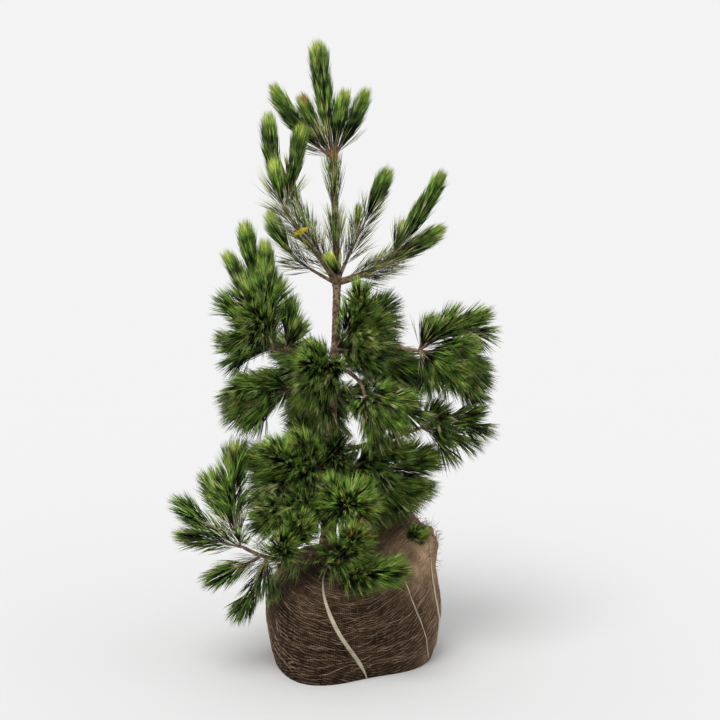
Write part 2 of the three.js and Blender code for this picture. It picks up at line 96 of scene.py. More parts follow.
# Root ball. A spot is a heading and how far above the level it is seen from the ball's heart.
HEART_HEIGHT = 0.42         # of the ball's height
BALL_RADIUS = 200 * MM      # of the round that the weave is laid out on
COLLAR = (8, 62)            # heading of the gathered cloth, and how far round it the pleats fade
PLEATS = 23                 # as many as would go all the way round
PLEAT_DEPTH = 4.5 * MM
FOLD_HOLE = np.array([118, -45, 262]) * MM      # a deep fold beside the collar
HOLE_DEPTH = 26 * MM
HOLE_WIDTH = 17 * MM
SAG = 110 * MM              # how far the threads sag in front and behind
SAG_HEADING = 274           # where they sag most, and again on the far side
FRILL_SPOT = (4, 38)        # the frayed end of the gathered cloth
FRILL_BULGE = 30 * MM
TUFT_SPOT = (350, 49)       # a branch end caught in the gathered cloth
TUFT_WAYS = np.array([340, 12, 300]), np.array([8, 20, 35])          # headings and lifts of its shoots
CLOTH_GRID = (190, 400)     # rows and columns
STRAP_LIFT = 1.6 * MM
STRAP_RIBS = 7000           # how fast the ribs' sine runs across the strap, in radians per metre
TWINE_SPOTS = ((322, 43), (321, 22), (324, 5), (331, -14), (343, -31))
TAG_PLACE = 0.7             # along its bough
TAG_ENDS = ((-15, -12, -9), (17, -12, 9))       # how far its two ends stand off, in mm

# Stage
FLOOR_SIDES = 96
FLOOR_RADIUS = 600
SUN_TURN = -28              # from straight ahead, in degrees
SUN_WIDTH = 30              # in degrees, so that shadows are soft

MASSES = sorted(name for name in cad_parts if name.startswith("needles_"))
BOUGHS = sorted(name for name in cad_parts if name.startswith("bough_"))

# Needles are dealt out by shade. The first four are green, from the oldest to the youngest.
SHADES = ("deep", "mid", "fresh", "tip", "pale", "rusty")

# How a shoot is dressed.
#   lean: least lean of its needles once it is fully open, in degrees
#   fill: how far they reach out, as a share of its girth
#   opening: how far below the bud it is fully open, in mm
#   heart: how much darker they are painted round the bud than lower down, a painted shade
#   tender: share of young needles round the bud
#   forward, sag: how far their outer halves turn forwards and droop
#   close: how close they stand
#   shares: the share of each shade
Habit = collections.namedtuple("Habit", "lean fill opening heart tender forward sag close shares")
HABITS = {
    "brush": Habit(10, 1.05, 34, -0.8, 0.5, 0.3, 0.0, 1.5, (0.4, 0.4, 0.15, 0.01, 0.04, 0.0)),
    "plume": Habit(28, 1.25, 22, 0.35, 0.15, 0.1, 0.1, 1.35, (0.3, 0.42, 0.2, 0.02, 0.06, 0.0)),
    "spray": Habit(20, 1.15, 30, 0.2, 0.15, 0.15, 0.1, 1.1, (0.3, 0.42, 0.2, 0.02, 0.06, 0.0)),
    "bright": Habit(30, 1.3, 22, 0.35, 0.25, 0.1, 0.06, 1.45, (0.14, 0.4, 0.4, 0.03, 0.03, 0.0)),
    "shaded": Habit(32, 1.45, 22, 0.3, 0.0, 0.1, 0.18, 1.3, (0.46, 0.38, 0.08, 0.0, 0.08, 0.0)),
    "under": Habit(28, 1.1, 22, 0.3, 0.0, 0.1, 0.2, 0.55, (0.4, 0.36, 0.08, 0.0, 0.16, 0.0)),
    "sparse": Habit(27, 1.2, 26, 0.2, 0.1, 0.1, 0.1, 0.7, (0.4, 0.38, 0.12, 0.02, 0.08, 0.0)),
    "thin": Habit(16, 1.0, 30, 0.0, 0.3, 0.1, 0.0, 0.3, (0.2, 0.4, 0.1, 0.0, 0.3, 0.0)),
    "old": Habit(28, 1.0, 1, 0.0, 0.0, 0.2, 0.0, 0.26, (0.06, 0.26, 0.06, 0.12, 0.5, 0.0)),
    "hugging": Habit(12, 1.0, 1, 0.0, 0.0, 0.1, 0.0, 0.3, (0.06, 0.28, 0.06, 0.16, 0.44, 0.0)),
    "hanging": Habit(42, 1.0, 1, 0.0, 0.0, 0.0, 0.7, 0.3, (0.0, 0.3, 0.2, 0.2, 0.3, 0.0)),
    "dead": Habit(40, 1.0, 1, 0.0, 0.0, 0.0, 0.5, 0.55, (0.0, 0.0, 0.0, 0.0, 0.1, 0.9)),
}
BRUSH_MASSES = ("needles_leader", "needles_top_", "needles_upper_", "needles_left_crest")
# Bright masses are dealt more light greens, as painted light, and shaded masses more dark greens, as
# painted shade.
BRIGHT_MASSES = ("needles_low_left_bright", "needles_front_centre", "needles_front_left",
                 "needles_right_crest", "needles_low_right_front", "needles_front_right")
SHADED_MASSES = ("needles_low_centre", "needles_low_left_inner", "needles_rear_low_left",
                 "needles_rear_low_right", "needles_rear_middle", "needles_right_back")
THIN_MASSES = ("needles_upper_rear",)
SPARSE_MASSES = ("needles_ball_left_", "needles_far_left_tip", "needles_far_left_low",
                 "needles_right_low_tip")
BARE_FOOTED_MASSES = ("needles_left_crest",)                       # their stems are bare lower down
SCORCHED_MASSES = ("needles_top_left", "needles_front_centre")     # their tips have turned orange
SLIM_HABITS = ("brush", "thin")

# Stretches of limb that carry loose needles: from and to as shares of the limb's length.
STRETCHES = (
    ("trunk", 0.7, 0.84, "hugging"), ("trunk", 0.84, 0.99, "hugging"), ("trunk", 0.33, 0.38, "dead"),
    ("bough_upper_left_front", 0.3, 1.0, "old"), ("bough_upper_left_back", 0.4, 1.0, "old"),
    ("bough_upper_right_front", 0.25, 1.0, "old"), ("bough_upper_right_back", 0.3, 1.0, "old"),
    ("bough_low_left", 0.3, 0.75, "hanging"), ("bough_low_front", 0.3, 1.0, "hanging"),
)


# ---------------------------------------------------------------- settings


def length_setting(name, description, millimetres):
    return bpy.props.FloatProperty(
        name=name, description=description, default=millimetres * MM, min=0, unit="LENGTH", precision=4)


def colour_setting(name, description, colour):
    return bpy.props.FloatVectorProperty(
        name=name, description=description, default=colour, subtype="COLOR", size=3, min=0, max=1)


class NeedleSettings(bpy.types.PropertyGroup):
    """Sizes and greens of the needles."""

    length: length_setting("Length", "Length of a full-grown needle", 84)
    width: length_setting("Width", "Width of a needle at its middle", 1.7)
    spacing: length_setting("Spacing", "Stem between one bundle of five and the next", 0.72)
    seed: bpy.props.IntProperty(name="Seed", description="Another seed grows another tree", default=5)
    deep: colour_setting("Deep", "Old needles in the shade", (0.021, 0.05, 0.008))
    mid: colour_setting("Mid", "Most needles", (0.069, 0.145, 0.021))
    fresh: colour_setting("Fresh", "Last year's needles", (0.145, 0.28, 0.032))
    tip: colour_setting("Tip", "Young needles round the buds", (0.3, 0.36, 0.055))
    pale: colour_setting("Pale", "The pale inner side of a needle", (0.32, 0.35, 0.15))
    rusty: colour_setting("Rusty", "Dead needles and bud scales", (0.22, 0.085, 0.022))


class BarkSettings(bpy.types.PropertyGroup):
    """Relief and browns of the trunk, boughs and stems."""

    cushion: length_setting("Cushion", "Height of the leaf cushions on the trunk", 1.0)
    row: length_setting("Row", "Height of one row of leaf cushions", 5.5)
    swelling: length_setting("Swelling", "How far the trunk swells at a whorl of boughs", 2.4)
    light: colour_setting("Light", "Raised bark", (0.3, 0.2, 0.125))
    dark: colour_setting("Dark", "Scars and cracks", (0.028, 0.016, 0.01))
    green: colour_setting("Green", "Young bark above the upper whorl", (0.16, 0.14, 0.06))


class BallSettings(bpy.types.PropertyGroup):
    """Cloth, straps and fibres of the root ball."""

    mesh_size: length_setting("Thread spacing", "From one thread of the cloth to the next", 6.0)
    strap_width: length_setting("Strap width", "Width of the flat straps", 9)
    fibres: bpy.props.IntProperty(name="Fibres", description="Loose jute fibres on the cloth", default=800)
    soil: colour_setting("Soil", "Soil seen through the cloth", (0.01, 0.005, 0.003))
    cloth: colour_setting("Cloth", "Damp hessian", (0.06, 0.036, 0.021))
    thread: colour_setting("Thread", "Dry threads", (0.44, 0.31, 0.2))
    faded: colour_setting("Faded", "Sun-bleached folds", (0.62, 0.42, 0.27))
    strap: colour_setting("Strap", "Flat straps", (0.56, 0.5, 0.37))


class StageSettings(bpy.types.PropertyGroup):
    """Camera, floor and studio light."""

    distance: length_setting("Distance", "Camera in front of the ball's middle", 3505)
    height: length_setting("Height", "Camera above the floor", 1290)
    aside: length_setting("Aside", "Camera to the right of the ball's middle", 30)
    tilt: bpy.props.FloatProperty(
        name="Tilt", description="Camera below the level", default=math.radians(9.5), subtype="ANGLE")
    lens: bpy.props.FloatProperty(name="Lens", description="Focal length in mm", default=78, min=10)
    daylight: bpy.props.FloatProperty(name="Daylight", description="Light from all round", default=0.9)
    sun: bpy.props.FloatProperty(name="Sun", description="Soft light from above", default=1.9)
    slant: bpy.props.FloatProperty(
        name="Slant", description="Sun below the zenith", default=math.radians(32), subtype="ANGLE")


# ---------------------------------------------------------------- arrays


def unit(vectors):
    """Each vector over its own length."""
    return vectors / np.linalg.norm(vectors, axis=-1, keepdims=True)


def across(directions):
    """Two directions square to each given one, so that side, rise and the direction are right-handed."""
    guide = np.where(np.abs(directions[..., 2:]) < 0.9, (0.0, 0.0, 1.0), (1.0, 0.0, 0.0))
    side = unit(np.cross(guide, directions))
    return side, np.cross(directions, side)


def turned(angle, start, towards):
    """The direction at an angle from start towards another that is square to it."""
    return np.cos(angle) * start + np.sin(angle) * towards


def ease(value, start, end):
    """0 before start and 1 after end, with a smooth S between: 3x² - 2x³."""
    x = np.clip((value - start) / (end - start), 0, 1)
    return x * x * (3 - 2 * x)


def bell(value, centre, spread):
    """1 at the centre, falling off as exp(-x²)."""
    return np.exp(-(((value - centre) / spread) ** 2))


def direction_of(heading, lift):
    """The direction at a heading and lift, both in degrees."""
    heading, lift = np.radians(heading), np.radians(lift)
    return np.stack([np.cos(lift) * np.cos(heading), np.cos(lift) * np.sin(heading), np.sin(lift)], -1)


def angle_from(heading, centre):
    """Degrees between two headings, the short way round."""
    return np.abs((heading - centre + 180) % 360 - 180)


def ripple(points, size, seed):
    """Smooth random waves, nearly all from -1 to 1: eight sines in random directions, averaged."""
    rng = np.random.default_rng(seed)
    waves = unit(rng.normal(size=(8, 3))) * rng.uniform(0.6, 1.5, (8, 1)) * 2 * math.pi / size
    return np.sin(points @ waves.T + rng.uniform(0, 2 * math.pi, 8)).mean(axis=-1) * 1.6


def run_along(path):
    """The distance of each point of a path from its start, along the path."""
    return np.concatenate([[0], np.cumsum(np.linalg.norm(np.diff(path, axis=0), axis=1))])


def smoothed(run, points, degree, fine):
    """Each coordinate's polynomial through points held against their run, read at fine ones."""
    return np.stack([np.polyval(np.polyfit(run, column, degree), fine) for column in points.T], -1)


def fit_parabola(share, points):
    """The rise and bend of the parabola rise * t + bend * t² that fits points best."""
    return np.linalg.lstsq(np.stack([share, share ** 2], -1), points, rcond=None)[0]


def ring_angles(sides):
    """The angles of a ring's points."""
    return np.arange(sides) * 2 * math.pi / sides


def closed_grid(rows, columns):
    """Triangles of rings held row by row, closed by two poles, which are the last two points."""
    row = np.arange(rows - 1)[:, None] * columns
    first = np.arange(columns)
    after = np.roll(first, -1)
    near, far = row + first, row + after
    walls = np.stack([near, far, far + columns, near, far + columns, near + columns], -1).reshape(-1, 3)
    last = (rows - 1) * columns
    pole = np.full(columns, rows * columns)
    return np.concatenate([walls, np.stack([pole, after, first], -1),
                           np.stack([pole + 1, first + last, after + last], -1)])


def join(parts):
    """Joins (points, triangles) pairs into one."""
    starts = np.cumsum([0] + [len(points) for points, _ in parts])
    return (np.concatenate([points for points, _ in parts]),
            np.concatenate([triangles + start for (_, triangles), start in zip(parts, starts)]))


def tube(path, radii, sides, relief=None):
    """A circle carried along a path, its radius given at each point, closed by a pole at each end.

    Point (i, j) is path[i] + radius * (cos a_j * side_i + sin a_j * rise_i). relief(angle, run)
    adds to the radius. The section's guide is square to the plane in which the path bends.
    """
    tangent = unit(np.gradient(path, axis=0))
    bend = np.cross(tangent[0], tangent[-1])
    if np.linalg.norm(bend) < 0.02:
        bend = across(tangent[:1])[0][0]
    side = unit(np.cross(bend, tangent))
    rise = np.cross(tangent, side)
    angle = ring_angles(sides)
    radius = np.broadcast_to(radii[:, None], (len(path), sides))
    if relief is not None:
        radius = radius + relief(angle[None, :], run_along(path)[:, None])
    ring = path[:, None] + radius[..., None] * turned(angle[None, :, None], side[:, None], rise[:, None])
    points = np.concatenate([ring.reshape(-1, 3), path[:1], path[-1:]])
    return points, closed_grid(len(path), sides)


# ---------------------------------------------------------------- pieces


def new_object(name, data):
    """Makes an object of the data and puts it in the scene."""
    made = bpy.data.objects.new(name, data)
    bpy.context.scene.collection.objects.link(made)
    return made


def add_piece(name, shape, finish, stands_for=(), marks=None, weave=None):
    """Makes one mesh of triangles that rides on the plant.

    marks are values kept at the points, and weave is the map along and across the threads, kept at
    the triangles' corners.
    """
    points, triangles = shape
    mesh = bpy.data.meshes.new(name)
    mesh.vertices.add(len(points))
    mesh.vertices.foreach_set("co", points.astype(np.float32).ravel())
    mesh.loops.add(triangles.size)
    mesh.loops.foreach_set("vertex_index", triangles.astype(np.int32).ravel())
    mesh.polygons.add(len(triangles))
    mesh.polygons.foreach_set("loop_start", np.arange(0, triangles.size, 3, dtype=np.int32))
    mesh.polygons.foreach_set("use_smooth", np.ones(len(triangles), bool))
    for mark, values in (marks or {}).items():
        layer = mesh.attributes.new(mark, "FLOAT", "POINT")
        layer.data.foreach_set("value", values.astype(np.float32).ravel())
    if weave is not None:
        layer = mesh.uv_layers.new(name="weave")
        layer.uv.foreach_set("vector", weave.astype(np.float32).ravel())
    mesh.update(calc_edges=True)
    mesh.materials.append(finish)
    piece = new_object(name, mesh)
    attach(piece, "root")
    if stands_for:
        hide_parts(*stands_for)


# ---------------------------------------------------------------- finishes


class Value:
    """A shader socket that takes arithmetic: each operator adds a Math node."""

    def __init__(self, finish, socket):
        self.finish = finish
        self.socket = socket

    def math(self, operation, *values):
        return self.finish.node("ShaderNodeMath", {"operation": operation}, dict(enumerate(values)))

    def __add__(self, other):
        return self.math("ADD", self, other)

    def __radd__(self, other):
        return self.math("ADD", other, self)

    def __sub__(self, other):
        return self.math("SUBTRACT", self, other)

    def __rsub__(self, other):
        return self.math("SUBTRACT", other, self)

    def __mul__(self, other):
        return self.math("MULTIPLY", self, other)

    def __rmul__(self, other):
        return self.math("MULTIPLY", other, self)


class Finish:
    """A material built up from nodes, all of them made by one method."""

    def __init__(self, name, roughness, specular=0.3):
        self.material = bpy.data.materials.new(name)
        self.material.use_nodes = True
        self.tree = self.material.node_tree
        self.tree.nodes.clear()
        self.shader = self.tree.nodes.new("ShaderNodeBsdfPrincipled")
        self.shader.inputs["Roughness"].default_value = roughness
        self.shader.inputs["Specular IOR Level"].default_value = specular
        output = self.tree.nodes.new("ShaderNodeOutputMaterial")
        self.tree.links.new(self.shader.outputs["BSDF"], output.inputs["Surface"])

    def put(self, socket, value):
        """Links a value to a socket, or sets a number or colour on it."""
        if isinstance(value, Value):
            self.tree.links.new(value.socket, socket)
        else:
            socket.default_value = value

    def node(self, kind, settings, inputs, output=0):
        """Makes a node, with its settings first and then its sockets, and gives one of its outputs."""
        made = self.tree.nodes.new(kind)
        for setting, value in settings.items():
            setattr(made, setting, value)
        for key, value in inputs.items():
            self.put(made.inputs[key], value)
        return Value(self, made.outputs[output])

    def place(self):
        return self.node("ShaderNodeTexCoord", {}, {}, "Object")

    def mark(self, name):
        """A value kept at the mesh's points."""
        return self.node("ShaderNodeAttribute", {"attribute_name": name}, {}, "Fac")

    def noise(self, scale, detail=2.0, place=None, roughness=0.5):
        return self.node("ShaderNodeTexNoise", {}, {
            "Vector": place or self.place(), "Scale": scale, "Detail": detail, "Roughness": roughness})

    def part(self, vector, number):
        """The first, second or third number of a vector."""
        return self.node("ShaderNodeSeparateXYZ", {}, {0: vector}, number)

    def mix(self, share, *colours):
        first, second = (colour if isinstance(colour, Value) else (*colour, 1.0) for colour in colours)
        return self.node("ShaderNodeMix", {"data_type": "RGBA"}, {0: share, 6: first, 7: second}, 2)

    def band(self, value, start, end):
        """0 below start and 1 above end."""
        return self.node("ShaderNodeMapRange", {"interpolation_type": "SMOOTHSTEP"}, {
            "Value": value, "From Min": start, "From Max": end})

    def wave(self, value):
        """A sine of the value, from 0 to 1."""
        return value.math("SINE", value) * 0.5 + 0.5

    def colour(self, value):
        self.put(self.shader.inputs["Base Color"], value)

    def relief(self, height, depth):
        normal = self.node("ShaderNodeBump", {}, {"Height": height, "Distance": depth}, "Normal")
        self.put(self.shader.inputs["Normal"], normal)


def scaled(colour, factor):
    return tuple(min(1.0, part * factor) for part in colour)


def patchy(finish, scale, detail, start, end, dark, light):
    """Colours a finish in patches from dark to light, and gives how light each patch is."""
    patches = finish.band(finish.noise(scale, detail), start, end)
    finish.colour(finish.mix(patches, dark, light))
    return patches


@remembered
def needle_finish(shade):
    """Satin needles of one shade, painted darker at the foot, and lighter or darker by bundle and in
    patches.
    """
    colour = getattr(bpy.context.scene.pine_needles, shade)
    finish = Finish(f"needle_{shade}", 0.5, 0.18)
    patches = finish.band(finish.noise(42, 3), 0.38, 0.6)
    # The mark holds painted light and shade (lighter on a shoot's upper side, darker or lighter round the
    # bud by habit) with a random spread; the patches vary at random.
    tone = finish.mark("tone") * 0.62 + patches * 0.42 - 0.06
    # Lit and shaded copies of the green, mixed by that mark: painted light and shade.
    lit = finish.mix(tone, scaled(colour, 0.05), scaled(colour, 3.1))
    along = finish.mark("outer")
    # Painted shade: each needle darkens towards its foot.
    shaded = finish.mix(finish.band(along, 0.16, 0.96), scaled(colour, 0.02), lit)
    # The outer ends turn towards the tip green, the more so where the needle is painted lighter.
    tinted = finish.band(along, 0.62, 1.0) * tone * 0.85
    finish.colour(finish.mix(tinted, shaded, tuple(bpy.context.scene.pine_needles.tip)))
    return finish.material


@remembered
def bark_finish():
    """Brown bark with dark leaf scars and grey flakes, greener on the young wood at the top."""
    settings = bpy.context.scene.pine_bark
    finish = Finish("bark", 0.82)
    grain = finish.noise(260, 3)
    flakes = finish.band(finish.noise(70, 4), 0.42, 0.62)
    old = finish.mix(flakes, scaled(settings.light, 0.45), scaled(settings.light, 1.1))
    young = finish.mix(flakes, scaled(settings.green, 0.75), scaled(settings.green, 1.15))
    wood = finish.mix(finish.mark("young"), old, young)
    scar = finish.mark("scar") * finish.band(grain, 0.35, 0.55)
    finish.colour(finish.mix(scar, wood, tuple(settings.dark)))
    finish.relief(grain + flakes * 0.6, 0.6 * MM)
    return finish.material


@remembered
def stem_finish():
    """Thin brown stems, lighter in patches, with fine grain."""
    light = bpy.context.scene.pine_bark.light
    finish = Finish("stem", 0.75)
    patchy(finish, 120, 3, 0.35, 0.65, scaled(light, 0.5), scaled(light, 1.1))
    finish.relief(finish.noise(600, 2), 0.4 * MM)
    return finish.material


@remembered
def bud_finish():
    """Buds in papery red-brown scales with paler rims."""
    rusty = bpy.context.scene.pine_needles.rusty
    finish = Finish("bud", 0.6)
    scales = patchy(finish, 420, 2, 0.4, 0.6, scaled(rusty, 0.8), scaled(rusty, 2.1))
    finish.relief(scales, 0.5 * MM)
    return finish.material


@remembered
def hessian_finish():
    """Open jute cloth: a net of broken, paler threads over damp soil, and bleached folds.

    Rows and posts are sines of the weave map, a row to a thread spacing. Dashes break the threads,
    yarns are the fine streaks along them, and the net is thin where the cloth is worn.
    """
    settings = bpy.context.scene.pine_ball
    finish = Finish("hessian", 0.95, 0.05)
    weave = finish.node("ShaderNodeUVMap", {"uv_map": "weave"}, {})
    sway = finish.noise(26, 2) * 0.009
    along, over = finish.part(weave, 0) + sway, finish.part(weave, 1) + sway
    pitch = 2 * math.pi / settings.mesh_size
    rows = finish.wave(over * pitch)
    posts = finish.wave(along * (pitch * 1.3))
    dash_place = finish.node("ShaderNodeCombineXYZ", {}, {0: along * 60, 1: over * 130, 2: 0.0})
    dashes = finish.band(finish.noise(1.0, 3, dash_place, 0.6), 0.36, 0.6)
    whole = finish.band(finish.noise(75, 3), 0.36, 0.58) * 0.75 + 0.25
    upright = finish.band(posts, 0.5, 0.95) * dashes * 0.5
    net = (finish.band(rows, 0.4, 0.85) * (dashes * 0.7 + 0.3) + upright) * whole
    yarn_place = finish.node("ShaderNodeCombineXYZ", {}, {0: along * 22, 1: over * 420, 2: 0.0})
    yarns = finish.band(finish.noise(1.0, 4, yarn_place, 0.65), 0.45, 0.7)
    blotches = finish.band(finish.noise(14, 4), 0.36, 0.66)
    bleach = finish.mark("faded")
    ground = finish.mix(blotches, tuple(settings.soil), scaled(settings.cloth, 0.6))
    damp = finish.mix(yarns * 0.6, scaled(settings.cloth, 1.4), tuple(settings.thread))
    threads = finish.mix(bleach, damp, tuple(settings.faded))
    backing = finish.mix(bleach, ground, scaled(settings.faded, 0.62))
    finish.colour(finish.mix(net, backing, threads))
    finish.relief(rows * 0.5 + posts * 0.3 + yarns * 0.6 + finish.noise(300, 2) * 0.4, 2 * MM)
    return finish.material


@remembered
def fibre_finish():
    """Dry jute fibres, straw to brown."""
    thread = bpy.context.scene.pine_ball.thread
    finish = Finish("fibre", 0.85, 0.2)
    patchy(finish, 45, 2, 0.35, 0.65, scaled(thread, 0.55), scaled(thread, 1.35))
    return finish.material


@remembered
def fringe_finish():
    """Frayed cloth and caught dead needles: red-brown, some of them pale."""
    finish = Finish("fringe", 0.85, 0.2)
    patchy(finish, 150, 2, 0.4, 0.65, (0.16, 0.055, 0.022), (0.42, 0.26, 0.14))
    return finish.material


@remembered
def strap_finish():
    """Woven off-white tape: fine ribs along it and light soiling."""
    settings = bpy.context.scene.pine_ball
    finish = Finish("strap", 0.6, 0.3)
    weave = finish.node("ShaderNodeUVMap", {"uv_map": "weave"}, {})
    over = finish.part(weave, 1)
    ribs = finish.wave(over * STRAP_RIBS)
    soiling = finish.band(finish.noise(60, 4), 0.4, 0.75)
    clean = finish.mix(ribs, scaled(settings.strap, 0.86), scaled(settings.strap, 1.1))
    finish.colour(finish.mix(soiling * 0.6, clean, scaled(settings.strap, 0.5)))
    finish.relief(ribs, 0.3 * MM)
    return finish.material


@remembered
def tag_finish():
    """A strip of yellow plastic tape, slightly dusty."""
    finish = Finish("tag", 0.4)
    patchy(finish, 200, 3, 0.45, 0.75, (0.72, 0.55, 0.015), (0.5, 0.38, 0.04))
    return finish.material


# ---------------------------------------------------------------- reading the limbs from the frame


@remembered
def node_shape(name):
    """The points and edges of a CAD node, doubled points merged."""
    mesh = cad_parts[name].data
    points = np.empty(len(mesh.vertices) * 3)
    mesh.vertices.foreach_get("co", points)
    corners = np.empty(len(mesh.loops), int)
    mesh.loops.foreach_get("vertex_index", corners)
    points, merged = np.unique(np.round(points.reshape(-1, 3), 6), axis=0, return_inverse=True)
    triangles = merged.reshape(-1)[corners].reshape(-1, 3)
    pairs = np.concatenate([triangles[:, [0, 1]], triangles[:, [1, 2]], triangles[:, [2, 0]]])
    return points, np.unique(np.sort(pairs, axis=1), axis=0)


def mean_spread(points):
    """How far points stand from their middle on average."""
    return np.linalg.norm(points - points.mean(axis=0), axis=1).mean()


def crossings(points, edges, level):
    """Where the edges pass through level 0, level being a value at each point."""
    start, end = level[edges[:, 0]], level[edges[:, 1]]
    crossed = (start < 0) != (end < 0)
    share = (start[crossed] / (start[crossed] - end[crossed]))[:, None]
    pairs = edges[crossed]
    return points[pairs[:, 0]] * (1 - share) + points[pairs[:, 1]] * share


@remembered
def limb_line(name, stations=24):
    """The centres and radii of a limb's sections, from its foot to its tip.

    The limb is cut by planes square to the line from foot to tip. The centre of a section is the
    mean of the points where the limb's edges cross the plane.
    """
    points, edges = node_shape(name)
    if name == "trunk":
        foot, tip = points[points[:, 2].argmin()], points[points[:, 2].argmax()]
    else:
        axis, _ = limb_line("trunk")
        middle = np.stack([np.interp(points[:, 2], axis[:, 2], axis[:, k]) for k in (0, 1)], -1)
        away = np.linalg.norm(points[:, :2] - middle, axis=1)
        foot, tip = points[away.argmin()], points[away.argmax()]
    height = (points - foot) @ unit(tip - foot)
    margin = 1.5 * MM
    cuts = np.linspace(height.min() + margin, height.max() - margin, stations)
    sections = [crossings(points, edges, height - cut) for cut in cuts]
    centres = np.array([section.mean(axis=0) for section in sections])
    return centres, np.array([mean_spread(section) for section in sections])


def smooth_line(centres, radii, step, degree=3):
    """A polynomial through the centres against the run along them, with a point every step."""
    run = run_along(centres)
    fine = np.linspace(0, run[-1], max(4, int(run[-1] / step)))
    return smoothed(run, centres, degree, fine), np.interp(fine, run, radii)


# ---------------------------------------------------------------- reading the shoots from the frame


class Shoot:
    """A stem on a parabola: point(t) = foot + rise * t + bend * t², t running from 0 to 1.

    The needles reach past its end, so that they fill the mass that it was read from.
    """

    def __init__(self, foot, rise, bend, habit, girth, bare=0.0, thick=3.0 * MM, tip="tip", size=1.0):
        self.foot = foot
        self.rise = rise
        self.bend = bend
        self.habit = habit
        self.girth = girth
        self.bare = bare
        self.thick = thick
        self.tip = tip
        self.size = size

    def points(self, share):
        share = np.asarray(share)[..., None]
        return self.foot + self.rise * share + self.bend * share ** 2

    def headings(self, share):
        return unit(self.rise + 2 * self.bend * np.asarray(share)[..., None])

    @property
    def length(self):
        return np.linalg.norm(np.diff(self.points(np.linspace(0, 1, 9)), axis=0), axis=1).sum()

    def cut(self, share):
        """Ends the stem at a share of its length."""
        self.rise = self.rise * share
        self.bend = self.bend * share ** 2


def mass_foot(name):
    """Where a mass grows from: the point on a limb's line that its skin comes nearest to.

    A mass can also pass close to other limbs, so of all limbs about as near as the nearest (the
    tie), the one furthest from the middle of the mass is taken.
    """
    points, _ = node_shape(name)
    found = []
    for limb in ["trunk"] + BOUGHS:
        centres, radii = limb_line(limb)
        gap = np.linalg.norm(points[:, None] - centres[None], axis=2) - radii
        nearest = np.unravel_index(gap.argmin(), gap.shape)
        found.append((gap[nearest], centres[nearest[1]], radii[nearest[1]]))
    tie = 6 * MM
    limit = min(gap for gap, _, _ in found) + tie
    middle = points.mean(axis=0)
    close = [(np.linalg.norm(centre - middle), tuple(centre), radius)
             for gap, centre, radius in found if gap < limit]
    _, foot, radius = max(close)
    return np.array(foot), radius


def mass_tips(points, edges, foot):
    """The points of a mass that are further from its foot than all their neighbours, one to a lobe.

    They are at least 0.3 as far away as the furthest.
    """
    reach = np.linalg.norm(points - foot, axis=1)
    beaten = np.zeros(len(points), bool)
    near, far = edges[:, 0], edges[:, 1]
    beaten[near[reach[near] < reach[far]]] = True
    beaten[far[reach[far] < reach[near]]] = True
    peaks = np.flatnonzero(~beaten & (reach > 0.3 * reach.max()))
    tips = []
    for peak in peaks[np.argsort(-reach[peaks])]:
        heading = unit(points[peak] - foot)
        if all(heading @ unit(points[tip] - foot) < math.cos(math.radians(LOBES_APART)) for tip in tips):
            tips.append(peak)
    return tips


def habit_of(name, girth):
    """The habit of the list that a mass is in, or else the one that suits the girth of its shoot."""
    if name in BRIGHT_MASSES:
        return "bright"
    if name in SHADED_MASSES:
        return "shaded"
    if name in THIN_MASSES:
        return "thin"
    if name.startswith(BRUSH_MASSES):
        return "brush"
    if name.startswith(SPARSE_MASSES):
        return "sparse"
    return "spray" if girth < WIDE_SHOOT else "plume"


def mass_shoots(name):
    """One main shoot for each lobe of a mass.

    A lobe is cut by balls round its foot. The means of the cuts give the parabola of its stem, and
    the widest cut gives its girth.
    """
    points, edges = node_shape(name)
    foot, thickness = mass_foot(name)
    tips = mass_tips(points, edges, foot)
    reach = np.linalg.norm(points - foot, axis=1)
    headings = unit(points[tips] - foot)
    shares = np.array(LOBE_CUTS)
    shoots = []
    for number, tip in enumerate(tips):
        centres, girths = [], []
        for share in shares:
            cut = crossings(points, edges, reach - share * reach[tip])
            closeness = unit(cut - foot) @ headings.T
            own = cut[(closeness.argmax(axis=1) == number) & (closeness[:, number] > LOBE_WIDTH)]
            if len(own) < 3:
                own = (foot + share * (points[tip] - foot))[None]
            centres.append(own.mean(axis=0) - foot)
            girths.append(mean_spread(own))
        rise, bend = fit_parabola(shares, np.array(centres))
        end = rise + bend
        together = unit(headings.mean(axis=0)) * np.linalg.norm(rise)
        rise = (1 - TOGETHER) * rise + TOGETHER * together
        bend = end - rise
        girth = max(girths)
        clothed = shares[np.array(girths) > 0.45 * girth][0] - 0.7 * girth / reach[tip]
        shoots.append(Shoot(
            foot, rise, bend, habit_of(name, girth), girth, max(0.0, clothed),
            min(THICKEST, 0.8 * thickness), "rusty" if name in SCORCHED_MASSES else "tip"))
    return shoots


